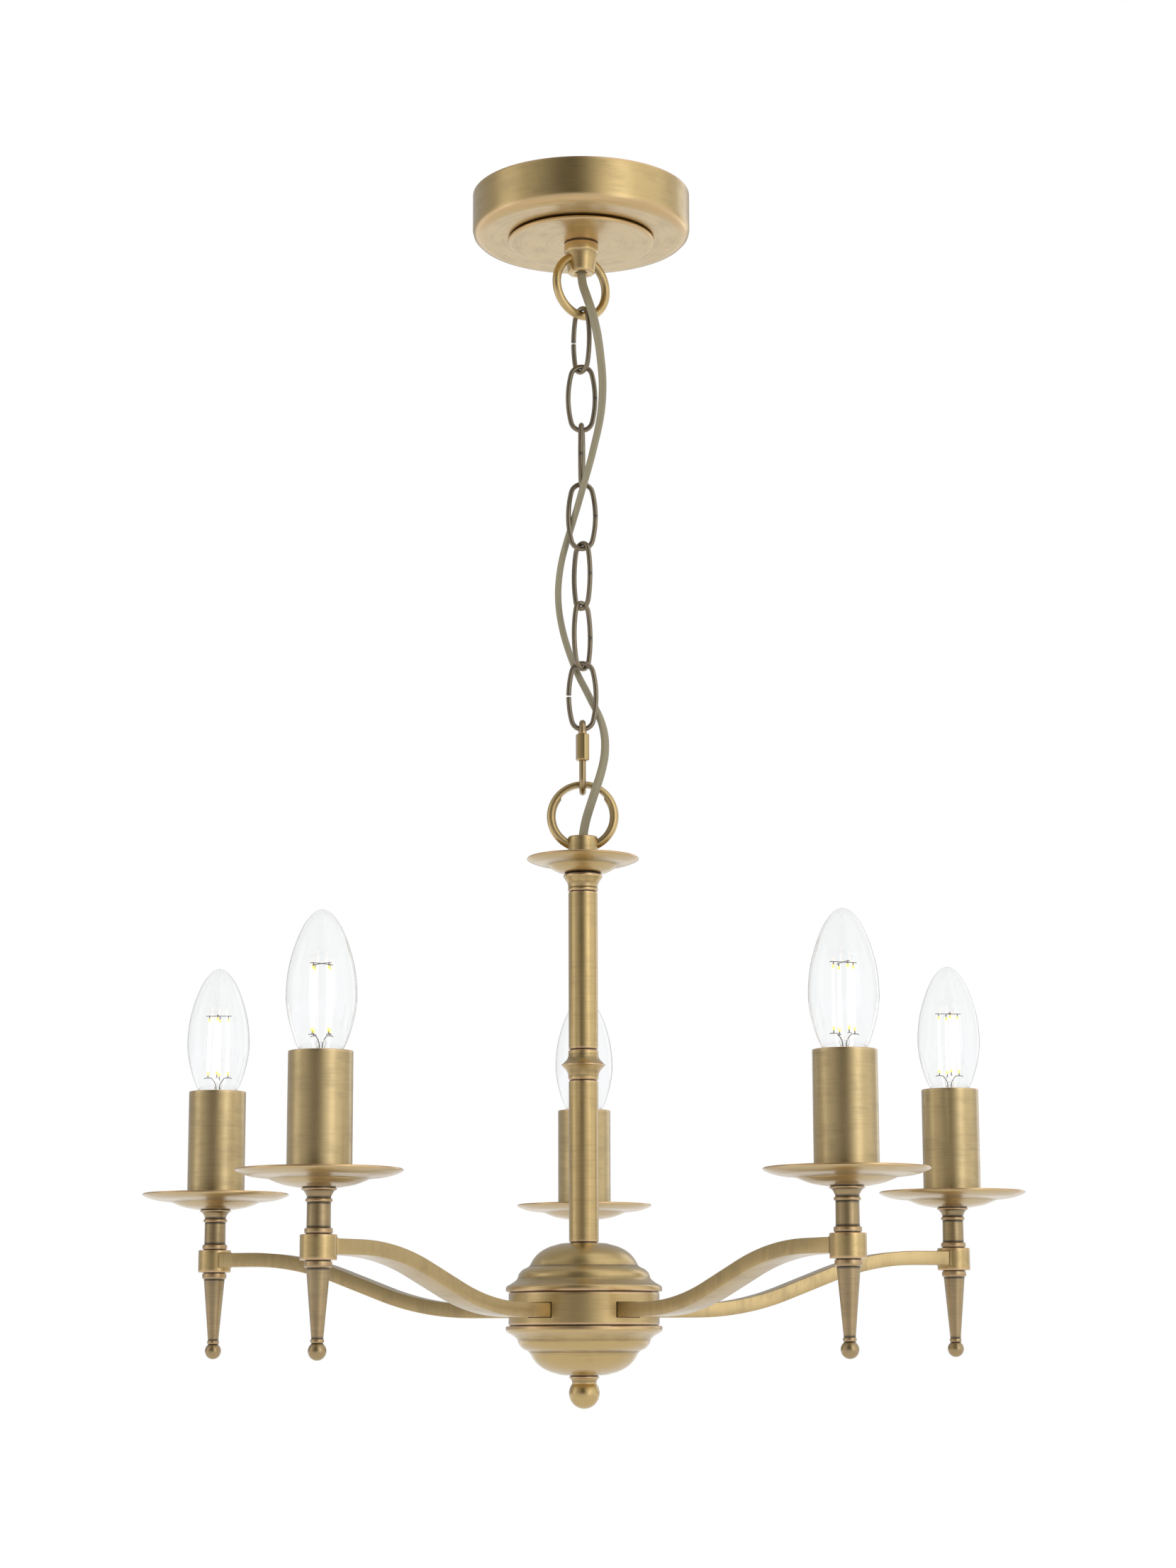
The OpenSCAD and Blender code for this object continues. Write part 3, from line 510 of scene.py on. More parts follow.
def sweptBody(path, sizes, closed=False, sides=12, twist=0.0):
    # a round or oval wire: each ring is the last one extruded and laid on the next point of the path
    bm = newBody()
    points = [Vector(p) for p in path]
    wide, thick = sizes
    last = len(points) - 1
    first = ring = roundRing(bm, 1.0, sides=sides)
    verts, side = vertsOf(ring), None
    for i, point in enumerate(points):
        ahead = points[(i + 1) % len(points)] if closed else points[min(i + 1, last)]
        behind = points[i - 1] if closed else points[max(i - 1, 0)]
        heading = (ahead - behind).normalized()
        side = side or Vector((1, 0, 0) if abs(heading.x) < 0.8 else (0, 1, 0))
        side = (side - heading * side.dot(heading)).normalized()
        across = heading.cross(side)
        turn = twist(i / last) if callable(twist) else twist
        c, s = math.cos(turn), math.sin(turn)
        if i:
            ring = pushRing(bm, ring, (0, 0, 0))
            verts = matchRing(verts, vertsOf(ring))
        for k, v in enumerate(verts):
            angle = 2 * math.pi * k / sides
            u, w = wide / 2 * math.cos(angle), thick / 2 * math.sin(angle)
            v.co = point + side * (u * c - w * s) + across * (u * s + w * c)
    if closed:
        bmesh.ops.bridge_loops(bm, edges=edgesOf(first + ring))
        capEnds(bm)
    else:
        capEnds(bm, first, ring)
    return bm


def matchRing(before, fresh):
    # the new copies in the old order: each lies on an edge from its original
    new = set(fresh)
    return [next(e.other_vert(v) for e in v.link_edges if e.other_vert(v) in new) for v in before]


def addBody(bm, other, matrix=None, material=0):
    # joins another bmesh into bm
    if matrix is not None:
        bmesh.ops.transform(other, matrix=matrix, verts=other.verts)
    for face in other.faces:
        face.material_index = material
    mesh = bpy.data.meshes.new("part")
    other.to_mesh(mesh)
    other.free()
    bm.from_mesh(mesh)
    bpy.data.meshes.remove(mesh)


def newObject(name, bm):
    mesh = bpy.data.meshes.new(name)
    bm.to_mesh(mesh)
    bm.free()
    made = bpy.data.objects.new(name, mesh)
    scene.collection.objects.link(made)
    return made


def finishPiece(name, bm, used, body, nodes=(), matrix=None, shift=0.0, sharp=38):
    # the piece's own coordinates in metres are kept for the grain, and shift varies the grain between pieces
    layer = bm.verts.layers.float_vector.new("place")
    for v in bm.verts:
        v[layer] = v.co * mm + Vector((0, 0, shift))
    if matrix is not None:
        bmesh.ops.transform(bm, matrix=matrix, verts=bm.verts)
    bmesh.ops.scale(bm, vec=(mm, mm, mm), verts=bm.verts)
    piece = newObject(name, bm)
    piece.data.polygons.foreach_set("use_smooth", [True] * len(piece.data.polygons))
    piece.data.set_sharp_from_angle(angle=math.radians(sharp))
    for material in ([used] if isinstance(used, str) else used):
        piece.data.materials.append(materials[material])
    if body:
        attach(piece, body)
    if nodes:
        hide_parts(*nodes)
    return piece


def brassPiece(name, bm, node, matrix=None, shift=0.0, body="chandelier"):
    return finishPiece(name, bm, "satinBrass", body, [node], matrix, shift)


# flex, woven down the chain
flex = {
    "wide": 5.0, "thick": 3.7, "turns": 1.1, "reach": 17,  # reach: half the height that bends at a hinge
    "points": [(0, 0, -20), (0, 0, -27), (0, 0, -34), (0, 0, -44), (0.8, -2.6, -53.5), (3, -6.4, -62),
               (5.6, -9.3, -71), (8, -10.4, -81), (9.8, -10, -91), (11, -9.2, -101), (11.8, -8.5, -111),
               (11.8, -8, -121), (11, -8, -131), (9.3, -8.3, -141), (7.2, -9.6, -150.5), (5, -10.6, -160),
               (2.6, -10.4, -168.8), (0, -7, -177), (-2.8, -1, -185.4), (-5.8, 4.2, -194), (-9, 6.4, -204),
               (-11.5, 6.5, -214), (-13, 6.5, -224), (-13.5, 6.5, -234), (-12.8, 6.5, -244), (-11, 6.5, -254),
               (-8.4, 6.5, -263.5), (-5.3, 6.2, -272.5), (-1.8, 6, -281), (2, 5.8, -288.5), (5.4, 5.5, -295.5),
               (8.6, 4.8, -302), (11.2, 3.2, -309.5), (12.5, 1, -318), (12.2, -2, -327.5), (10.3, -5, -337),
               (7.4, -6.5, -346.5), (4.4, -5.6, -355.5), (1.6, -2.6, -364.5), (0.1, -0.3, -373.5),
               *((0, 0, z) for z in (-384, -396, -420, -450, -480, -520, -560, -600, -624))],
    "hinges": [-71.5, -105, -139.5, -174, -208.5, -243, -277.5, -312, -347.4],
    "bodies": ["ceiling", *(f"link_{k}" for k in range(1, 8)), "screw_link", "chandelier"],
}


def makeFlex():
    path = smoothLine(flex["points"])
    hinges, bodies, total = flex["hinges"], flex["bodies"], len(path) - 1
    # each stretch crosses one hinge and ends half way to the next
    seams = [0] + [min(range(len(path)), key=lambda i: abs(path[i][2] - (a + b) / 2))
                   for a, b in zip(hinges, hinges[1:])] + [total]
    for index, (above, below, height) in enumerate(zip(bodies, bodies[1:], hinges)):
        first, last = seams[index:index + 2]
        part = path[first:last + 1]
        bm = sweptBody(part, (flex["wide"], flex["thick"]), sides=20, twist=lambda share: (
            flex["turns"] * math.pi * (first + share * (last - first)) / total))
        piece = finishPiece(f"flexStretch{index + 1}", bm, "oliveFlex", None, ["flex"])
        top, bottom = part[0][2], max(part[-1][2], 2 * height - part[0][2])
        reach = min(top - height, height - bottom, flex["reach"])
        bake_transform(piece, above, below, start=(0, 0, (height + reach) * mm), end=(0, 0, (height - reach) * mm))


makeFlex()
print("flex")

# canopy and top loop
canopy = {"radius": 62.0, "wall": 1.2, "edge": 5.0, "hole": 5.05, "discRadius": 41.7, "boss": 31.7,
          "discStep": 0.8, "collar": 9.8, "collarHeight": 5.2, "bodyTop": 9.1, "bodyRadius": 7.5,
          "bodyHeight": 12.6, "exit": 3.3, "thread": 11.0}


def makeCanopy():
    c, low = canopy, zBottom("canopy")
    r, wall, hole = c["radius"], c["wall"], c["hole"]
    section = [(r - wall, 0, 0.3), (r, 0, 0.3), (r, low, c["edge"] * 0.98), (hole, low), (hole, low + wall),
               (r - wall, low + wall, c["edge"] - wall)]
    brassPiece("canopyShell", turnedBody(section, 160), "canopy", body="ceiling")
    step, bottom = low - c["discStep"], zBottom("canopy_disc")
    disc = [(hole, low), (c["boss"], low), (c["boss"], step), (c["discRadius"], step, 0.5),
            (c["discRadius"], bottom, 0.9), (hole, bottom)]
    brassPiece("coverDisc", turnedBody(disc, 144), "canopy_disc", shift=0.31, body="ceiling")


def ringBody(wireRadius, middle, flat=None):
    # a cast ring in the XZ plane; flat = (radius, half width, height) of the bearing cut inside its top
    bm = newBody()
    spin(bm, roundRing(bm, wireRadius, shifted(middle, 0, 0), 24), 2 * math.pi, 160)
    layer = bm.verts.layers.float["wear"]
    # the outside of the ring goes towards the worn-edge colour and the inside towards the dark recess colour; the
    # bearing flat a little towards the edge colour
    for v in bm.verts:
        out = math.hypot(v.co.x, v.co.z)
        v[layer] = 0.28 * (out - middle) / wireRadius
        if flat and out < flat[0] and abs(v.co.x) < flat[1] and v.co.z > flat[2]:
            v.co.x, v.co.z = v.co.x * flat[0] / out, v.co.z * flat[0] / out
            v[layer] = 0.1
    return bm


loopRing = {"outer": 39.7, "wire": 4.9, "turn": 37.0, "relief": 1.2}


def makeTopLoop():
    c, top = canopy, zTop("top_loop")
    collarLow = top - c["collarHeight"]
    ringLow = zBottom("top_loop")
    bodyLow = collarLow - c["bodyHeight"]
    section = [(c["hole"], top), *seamTop(c["collar"], top), (c["collar"], collarLow, 0.6),
               (c["bodyTop"], collarLow - 1, 0.5), (c["bodyRadius"], bodyLow, 0.9), (c["exit"] + 1.2, bodyLow, 0.4),
               (c["exit"], bodyLow + 1.2, 0.4), (c["exit"], top - c["thread"]), (c["hole"], top - c["thread"])]
    bm = turnedBody(section, 80)
    ring = ringBody(loopRing["wire"] / 2, (loopRing["outer"] - loopRing["wire"]) / 2)
    turn = rotated(math.radians(loopRing["turn"]))
    addBody(bm, ring, shifted(0, 0, ringLow + loopRing["outer"] / 2) @ turn)
    brassPiece("topLoop", bm, "top_loop", body="ceiling")


makeCanopy()
makeTopLoop()
print("canopy")

# chain, screw link and sleeve nut
chain = {"length": 40.3, "width": 18.0, "wire": 2.8, "endRadius": 7.5, "seam": 0.25, "openSeam": 1.0,
         "turns": [-54, 0, 85, 0, -54, 54, 0], "seamSides": [-1, 1, -1, 1, 1, 1, -1]}


def linkBody(gap):
    # a link bent from wire: four arcs, from one side of the seam round to the other
    wire = chain["wire"] / 2
    endIn = chain["endRadius"] - wire
    endZ = chain["length"] / 2 - chain["endRadius"]
    half = chain["width"] / 2 - wire
    # side arcs that touch the end arcs
    sideIn = ((half - endIn) ** 2 + endZ ** 2) / (2 * (half - endIn)) + endIn
    sideX = sideIn - half
    meet = math.atan2(endZ, sideX)
    start = math.asin(gap / 2 / sideIn)
    bm = newBody()
    first = ring = roundRing(bm, wire, shifted(half, 0, 0), 18)
    bmesh.ops.rotate(bm, verts=bm.verts, cent=(-sideX, 0, 0), matrix=Matrix.Rotation(start, 3, (0, -1, 0)))
    arcs = [((-sideX, 0, 0), meet - start, 8), ((0, 0, endZ), math.pi - 2 * meet, 22),
            ((sideX, 0, 0), 2 * meet, 16), ((0, 0, -endZ), math.pi - 2 * meet, 22),
            ((-sideX, 0, 0), meet - start, 8)]
    for centre, angle, steps in arcs:
        ring = spin(bm, ring, angle, steps, centre)
    capEnds(bm, first, ring)
    bevelSharp(bm, 0.12, 1, 60)
    layer = bm.verts.layers.float["wear"]
    for v in bm.verts:
        # rubbed bright at the outside of the ends and inside where the links bear
        ends = max(0.0, abs(v.co.z) / (chain["length"] / 2) - 0.7) / 0.3
        v[layer] = 0.45 * ends ** 2 - 0.12 + (-0.5 if abs(v.co.z) < gap / 2 + 0.25 and v.co.x > 0 else 0)
    return bm


def makeChain():
    count = len(chain["turns"])
    for k, (turn, side) in enumerate(zip(chain["turns"], chain["seamSides"]), 1):
        node = f"chain_link_{k}"
        gap = chain["openSeam"] if k in (1, count) else chain["seam"]
        bm = linkBody(gap)
        bmesh.ops.transform(bm, matrix=rotated(0 if side > 0 else math.pi), verts=bm.verts)
        middle = (zTop(node) + zBottom(node)) / 2
        place = shifted(0, 0, middle) @ rotated(math.radians(turn))
        finishPiece(f"chainLink{k}", bm, "wireBrass", f"link_{k}", [node], place, shift=k * 0.21)


screwLink = {"width": 17.0, "wire": 3.7, "slit": 6.66, "slitBelowTop": 1.2, "flange": 2.35, "flangeHeight": 1.5,
             "nutFlats": 6.6, "nutBore": 1.91, "nutTurn": 17.0, "nutChamfer": 0.55}


def makeScrewLink():
    s = screwLink
    top, bottom = zTop("quick_link"), zBottom("quick_link")
    wire, half = s["wire"] / 2, (s["width"] - s["wire"]) / 2
    nutTop, nutLow = zTop("quick_link_nut"), zBottom("quick_link_nut")
    slitTop = nutTop - s["slitBelowTop"]
    upper, lower = top - s["width"] / 2, bottom + s["width"] / 2
    bm = newBody()
    first = ring = roundRing(bm, wire, shifted(0, -half, slitTop), 20)
    ring = pushRing(bm, ring, (0, 0, upper - slitTop))
    ring = spin(bm, ring, math.pi, 24, (0, 0, upper), (-1, 0, 0))
    for _ in range(4):
        ring = pushRing(bm, ring, (0, 0, (lower - upper) / 4))
    ring = spin(bm, ring, math.pi, 24, (0, 0, lower), (-1, 0, 0))
    ring = pushRing(bm, ring, (0, 0, slitTop - s["slit"] - lower))
    capEnds(bm, first, ring)
    bevelSharp(bm, 0.3, 2, 60)
    meshWear(bm, 0.8)
    out, high = s["flange"], s["flangeHeight"]
    flange = turnedBody([(wire - 0.2, 0), (out, 0, 0.35), (out, high, 0.35), (wire - 0.2, high)], 40)
    addBody(bm, flange, shifted(0, -half, nutTop + 0.15))
    finishPiece("screwLink", bm, "agedBrass", "screw_link", ["quick_link"])
    # six steps of the spin give the hexagon
    corner, bore = s["nutFlats"] / 2 / math.cos(math.pi / 6), s["nutBore"] / math.cos(math.pi / 6)
    height, chamfer = nutTop - nutLow, s["nutChamfer"]
    nut = turnedBody([(bore, 0, 0.2), (corner * 0.93, 0), (corner, chamfer), (corner, height - chamfer),
                      (corner * 0.93, height), (bore, height, 0.2)], 6)
    bevelSharp(nut, 0.22, 2, 20)
    meshWear(nut, 0.9)
    place = shifted(0, -half, nutLow) @ rotated(math.radians(30 + s["nutTurn"]))
    brassPiece("sleeveNut", nut, "quick_link_nut", place, body="sleeve_nut")


makeChain()
makeScrewLink()
print("chain")

# column
column = {"hole": 5.05, "loopBody": 8.2, "loopOverlap": 8.5, "flexHole": 3.0, "rodRoom": 7.0, "tube": 8.0,
          "tubeWall": 1.2, "pan": 30.9, "panDepth": 8.3, "panFlange": 3.2, "panBelly": 19.467, "capital": 10.7,
          "knuckle": 12.0}


def panSection(rim, belly, hole, depth, flange, wall=1.0):
    under = [(hole, -depth)] + smoothLine(
        [(belly * 0.45, -depth), (belly * 0.72, -depth + (depth - flange) * 0.3),
         (belly * 0.93, -flange - (depth - flange) * 0.25), (belly * 1.04, -flange), (rim * 0.82, -flange * 0.74),
         (rim * 0.95, -flange * 0.3), (rim, 0)], 4)
    lip = [(rim - 0.1, 0.4), (rim - 0.6, 0.55)]
    inside = [(max(r - 0.3, hole), z + wall) for r, z in reversed(under[:-1])]
    return list(reversed(under + lip + inside))  # top side out, then the underside in


def makeColumn():
    c = column
    hole, tube = c["hole"], c["tube"]
    seat, r, outer, wire = zBottom("lower_loop"), c["loopBody"], loopRing["outer"], loopRing["wire"]
    ringZ = zTop("lower_loop") - outer / 2
    bodyTop = ringZ - outer / 2 + c["loopOverlap"]
    rodTop = bodyTop - c["rodRoom"]
    bm = turnedBody([(c["flexHole"], bodyTop, 0.4), (r, bodyTop, 0.8), (r, seat + 6), (r + 0.3, seat), (hole, seat),
                     (hole, rodTop), (c["flexHole"], rodTop)], 80)
    inner = outer / 2 - wire + loopRing["relief"]
    ring = ringBody(wire / 2, (outer - wire) / 2, (inner, outer / 3.4, outer / 5))
    addBody(bm, ring, shifted(0, 0, ringZ))
    brassPiece("lowerLoop", bm, "lower_loop", shift=0.12)

    panZ = zBottom("column_pan") + c["panDepth"]
    section = panSection(c["pan"], c["panBelly"], hole, c["panDepth"], c["panFlange"])
    brassPiece("columnPan", turnedBody(section, 112), "column_pan", shifted(0, 0, panZ), 0.4)

    top, low, f = zTop("column_capital"), zBottom("column_capital"), c["capital"]
    cove = smoothLine([(f - 0.4, top - 2.2), (tube + 1.5, top - 3.4), (tube + 0.4, top - 5.2),
                       (tube + 0.1, top - 7)])
    section = [(hole, top), *seamTop(f, top), (f, top - 1.8, 0.3)] + cove + [
        (tube, top - 7.8), (tube + 0.3, top - 8.2, 0.1), (tube + 0.3, low + 0.4, 0.15), (tube, low), (hole, low)]
    brassPiece("capital", turnedBody(section, 88), "column_capital")

    inside = tube - c["tubeWall"]
    for name, node, shift in (("upperTube", "upper_tube", 0.1), ("lowerTube", "lower_tube", 0.2)):
        high, bottom = zTop(node), zBottom(node)
        section = [(inside, high), *seamTop(tube, high), *seamLow(tube, bottom), (inside, bottom)]
        brassPiece(name, turnedBody(section, 88), node, shift=shift)

    top, low = zTop("column_knuckle"), zBottom("column_knuckle")
    middle, h = (top + low) / 2, top - low
    half = smoothLine([(tube + 0.15, h * 0.34), (tube + 0.9, h * 0.2), (c["knuckle"] - 0.9, 0.9),
                       (c["knuckle"], 0.2)])
    section = [(hole, top), (tube - 0.3, top), (tube + 0.25, top - 0.5, 0.15)]
    section += [(r, middle + z) for r, z in half] + [(r, middle - z * 1.1) for r, z in reversed(half)]
    section += [(tube + 0.2, low + 0.5, 0.15), (tube - 0.3, low), (hole, low)]
    brassPiece("knuckle", turnedBody(section, 96), "column_knuckle")


makeColumn()
print("column")

# hub
hub = {"rim": 42.1, "band": 40.6, "wall": 1.2, "hole": 5.05, "tube": 8.0, "ball": 8.2, "slotGap": 0.35,
       "slotDepth": 30}


def domeSection():
    r, h = hub["rim"], zTop("hub_top_dome") - zBottom("hub_top_dome")
    bulge = smoothLine([(r * 0.43, h * 0.93), (r * 0.52, h * 0.862), (r * 0.6, h * 0.765), (r * 0.655, h * 0.655),
                        (r * 0.682, h * 0.575), (r * 0.698, h * 0.532)])
    flare = smoothLine([(r * 0.72, h * 0.505), (r * 0.785, h * 0.452), (r * 0.832, h * 0.37), (r * 0.85, h * 0.28),
                        (r * 0.882, h * 0.222), (r * 0.935, h * 0.165), (r - 0.5, h * 0.118)])
    outside = [(hub["tube"] + 1, h), (hub["tube"] + 4.6, h - 0.3)] + bulge + flare
    shell = [(p[0] - hub["wall"] * 0.8, max(p[1] - hub["wall"], 0)) for p in reversed(outside[1:])]
    return ([(hub["hole"], h)] + outside + [(r, h * 0.118 - 0.9, 0.3), (r, 0.3, 0.2), (r - 0.7, 0), (r - 3.6, 0)]
            + shell + [(hub["hole"], h - hub["wall"])])


def applyCut(piece, cutter):
    # takes the cutter out of the piece and keeps the piece's attributes
    modifier = piece.modifiers.new("cut", "BOOLEAN")
    modifier.object = cutter
    modifier.solver = "EXACT"
    graph = bpy.context.evaluated_depsgraph_get()
    mesh = bpy.data.meshes.new_from_object(piece.evaluated_get(graph), preserve_all_data_layers=True,
                                           depsgraph=graph)
    piece.modifiers.clear()
    old = piece.data
    piece.data = mesh
    bpy.data.meshes.remove(old)
    bpy.data.objects.remove(cutter)


def armTurn(k):
    return math.radians(arm["firstTurn"] + (k - 1) * 72)


def makeHub():
    for name, node, flip in (("upperDome", "hub_top_dome", 1), ("lowerDome", "hub_bottom_dome", -1)):
        z = zBottom(node) if flip > 0 else zTop(node)
        place = shifted(0, 0, z) @ rotated(0 if flip > 0 else math.pi, "X")
        brassPiece(name, turnedBody(domeSection(), 144), node, place, 0.05 * flip)
    top, low, r = zTop("hub_band"), zBottom("hub_band"), hub["band"]
    section = [(r - hub["wall"], top), *seamTop(r, top), *seamLow(r, low), (r - hub["wall"], low)]
    band = brassPiece("hubBand", turnedBody(section, 160), "hub_band", shift=0.7)
    gap, cutters = hub["slotGap"], bmesh.new()
    for k in range(1, 6):
        size = Matrix.Diagonal((hub["slotDepth"], arm["width"] + 2 * gap, arm["height"] + 2 * gap, 1))
        place = rotated(armTurn(k)) @ shifted(r, 0, armZ())
        bmesh.ops.create_cube(cutters, size=1, matrix=place @ size)
    bmesh.ops.scale(cutters, vec=(mm, mm, mm), verts=cutters.verts)
    applyCut(band, newObject("slots", cutters))

    top, low, b = zTop("bottom_finial"), zBottom("bottom_finial"), hub["ball"]
    ballZ = low + b
    neck = smoothLine([(b - 0.6, top - 1.6), (b - 1.5, top - 3), (b - 1.7, top - 4.6),
                       (b - 2.0, ballZ + b * 0.66)])
    section = [(hub["hole"], top), *seamTop(b - 0.1, top), (b - 0.1, top - 1.3, 0.2), *neck,
               *ballArc(b, ballZ, 40, -5), (0, low), (0, ballZ), (hub["hole"], ballZ)]
    brassPiece("bottomFinial", turnedBody(section, 72), "bottom_finial")


# arms
arm = {"firstTurn": -126, "width": 15.0, "height": 7.6, "bend": 150.0, "slope": 20.5, "bendStart": 62.0,
       "inner": 33.4, "reach": 218.0, "rise": 29.0, "belowMiddle": 0.8, "collar": 9.05, "collarHeight": 12.3,
       "intoCollar": 3.2, "edge": 0.45, "braze": 0.55}


def armZ():
    return (zTop("hub_band") + zBottom("hub_band")) / 2 - arm["belowMiddle"]


def armBody():
    a = arm
    z0, slope, bend = armZ(), math.radians(a["slope"]), a["bend"]
    straight = (a["rise"] - 2 * bend * (1 - math.cos(slope))) / math.sin(slope)
    bendEnd = a["bendStart"] + 2 * bend * math.sin(slope) + straight * math.cos(slope)
    z1 = z0 + a["rise"]
    bm = newBody()
    turn = shifted(a["inner"], 0, z0) @ rotated(math.pi / 2, "Y")
    size = Matrix.Diagonal((a["height"] / 2, a["width"] / 2, 1, 1))
    first = ring = roundRing(bm, math.sqrt(2), turn @ size @ rotated(math.pi / 4), 4)
    for _ in range(4):
        ring = pushRing(bm, ring, ((a["bendStart"] - a["inner"]) / 4, 0, 0))
    ring = spin(bm, ring, slope, 16, (a["bendStart"], 0, z0 + bend))
    step = Vector((math.cos(slope), 0, math.sin(slope))) * straight / 4
    for _ in range(4):
        ring = pushRing(bm, ring, step)
    ring = spin(bm, ring, -slope, 16, (bendEnd, 0, z1 - bend))
    ring = pushRing(bm, ring, (a["reach"] - a["collar"] + a["intoCollar"] - bendEnd, 0, 0))
    capEnds(bm, first, ring)
    bevelSharp(bm, a["edge"], 3, 60)
    meshWear(bm, 0.55)
    return bm, z1


def makeArms():
    a = arm
    top = zTop("arm_1")
    low = top - a["collarHeight"]
    for k in range(1, 6):
        bm, z1 = armBody()
        collar = turnedBody([(5.05, top), (a["collar"], top, 0.4), (a["collar"], low, 0.4), (5.05, low)], 72)
        addBody(bm, collar, shifted(a["reach"], 0, 0), 1)
        # braze bead round the joint, a little uneven
        corner, up, path = a["width"] / 2 - 0.2, a["height"] / 2, []
        for side in (1, -1):
            for i in range(13):
                y = side * (corner - 2 * corner * i / 12)
                path.append((a["reach"] - math.sqrt(a["collar"] ** 2 - y * y) - 0.05, y, z1 + side * up))
        path = [(x + 0.14 * math.sin(7.1 * i + k), y, z + 0.1 * math.sin(5.3 * i + 2 * k))
                for i, (x, y, z) in enumerate(path)]
        addBody(bm, sweptBody(path, (2 * a["braze"], 2 * a["braze"]), closed=True, sides=8))
        finishPiece(f"arm{k}", bm, ["armBrass", "satinBrass"], "chandelier", [f"arm_{k}"],
                    rotated(armTurn(k)), shift=0.37 * k)


makeHub()
makeArms()
print("hub and arms")

# candles and lamps; the lamp's heights are above the top of its cap
lamp = {"glass": 17.5, "cap": 6.95, "wall": 0.6, "neckOut": 2.2, "rods": 4, "rodRadius": 0.62, "rodRing": 5.5,
        "rodLow": 17.5, "rodHigh": 49.5, "lean": 0.15, "wire": 0.19, "frameGap": 1.6, "turns": [45, 20, 5, 30, 0]}
candle = {"hole": 5.05, "neck": 5.9, "flare": 8.75, "stem": 4.98, "stemBore": 3.0, "pan": 41.0, "panDepth": 8.0,
          "panFlange": 3.8, "panBelly": 24.6, "tube": 16.0, "tubeWall": 1.0, "holder": 12.5, "holderNeck": 7.5,
          "holderBore": 3.05, "capRoom": 22.4, "drop": 6.75, "dropBall": 4.5}


def candlePlace(k):
    return rotated(armTurn(k)) @ shifted(arm["reach"], 0, 0)


def stemSection(c, f):
    # c is the top of the arm's collar, f the floor of the pan
    n, t, rod, bore = candle["neck"], candle["flare"], candle["stem"], candle["stemBore"]
    flare = smoothLine([(n, f - 4.6), (n + 0.8, f - 3), (t - 1.2, f - 1.8), (t - 0.3, f - 1.4)])
    return [(bore, f + 13), (rod, f + 13, 0.4), (rod, f), *seamTop(t, f), (t, f - 1.1, 0.15), *reversed(flare),
            (n, f - 5.4), (n + 0.7, f - 5.8, 0.25), (n + 0.7, f - 7, 0.25), (n - 0.1, f - 7.4), (n, c + 3.3),
            (n + 1, c + 2.8, 0.3), *seamLow(n + 1, c), (rod, c), (rod, c - 9), (bore, c - 9)]


def dropSection(c, low):
    r, b = candle["drop"], candle["dropBall"]
    return [(0, c), *seamTop(r, c), (r, c - 3.3, 0.4), (5.8, c - 3.8), (2.9, low + 10.3), (3.3, low + 9.9, 0.2),
            (3.3, low + 8.7, 0.2), (2.8, low + 8.1), *ballArc(b, low + b, 50, -8), (0, low)]


def makeCandles():
    c = candle
    collarTop, panFloor = zTop("arm_1"), zBottom("drip_pan_1")
    panRim = panFloor + c["panDepth"]
    tubeTop, tubeLow = zTop("candle_tube_1"), zBottom("candle_tube_1")
    dropTop, dropLow = collarTop - arm["collarHeight"], zBottom("drop_finials")
    holderTop, holderLow = zTop("lampholders"), zBottom("lampholders")
    capTop = zTop("bulb_cap_1")
    pan = panSection(c["pan"], c["panBelly"], c["hole"], c["panDepth"], c["panFlange"])
    pan = [(r, panRim + z) for r, z in pan]
    inside = c["tube"] - c["tubeWall"]
    tube = [(inside, tubeTop, 0.3), (c["tube"], tubeTop, 0.35), (c["tube"], tubeLow, 0.2), (inside, tubeLow)]
    neck, out, hole, floor = c["holderNeck"], c["holder"], c["holderBore"], capTop - c["capRoom"]
    bore, mouth = lamp["cap"] + 0.2, lamp["cap"] + 3.2
    holder = [(hole, holderLow), (neck, holderLow, 0.3), (neck, holderLow + 12), (out - 1.5, holderLow + 18),
              (out, holderLow + 18), (out, holderTop, 0.6), (mouth, holderTop, 0.3), (mouth, capTop - 0.2),
              (bore, capTop - 0.2, 0.2), (bore, floor), (hole, floor)]
    for k in range(1, 6):
        for name, section, steps, used, node, slot in (
                ("dripPan", pan, 128, "satinBrass", f"drip_pan_{k}", "satin_brass"),
                ("candleTube", tube, 112, "paleBrass", f"candle_tube_{k}", "satin_brass"),
                ("candleStem", stemSection(collarTop, panFloor), 64, "agedBrass", "candle_stems", "satin_brass"),
                ("drop", dropSection(dropTop, dropLow), 56, "agedBrass", "drop_finials", "aged_brass"),
                ("lampHolder", holder, 64, "ivoryPlastic", "lampholders", "ivory_plastic")):
            finishPiece(f"{name}{k}", turnedBody(section, steps), used, "chandelier", [node],
                        candlePlace(k), shift=0.33 * k)


makeCandles()
print("candles")


# lamps
def glassSection(height):
    r, cap, h = lamp["glass"], lamp["cap"], height
    shape = [(0.623, 0.109), (0.737, 0.167), (0.834, 0.231), (0.926, 0.308), (0.983, 0.385), (1, 0.449),
             (0.983, 0.538), (0.92, 0.641), (0.8, 0.744), (0.68, 0.82), (0.549, 0.885), (0.406, 0.936),
             (0.251, 0.974), (0.126, 0.992), (0, 1)]
    wall = lamp["wall"]
    outside = smoothLine([(cap + 0.6, 0), (cap + lamp["neckOut"], h * 0.05)]
                         + [(r * u, h * v) for u, v in shape], 3)
    inside = [(max(x - wall, 0), z - (wall if z > h * 0.4 else 0)) for x, z in outside]
    inside[-1] = (0, h - wall * 1.4)
    return outside + list(reversed(inside))


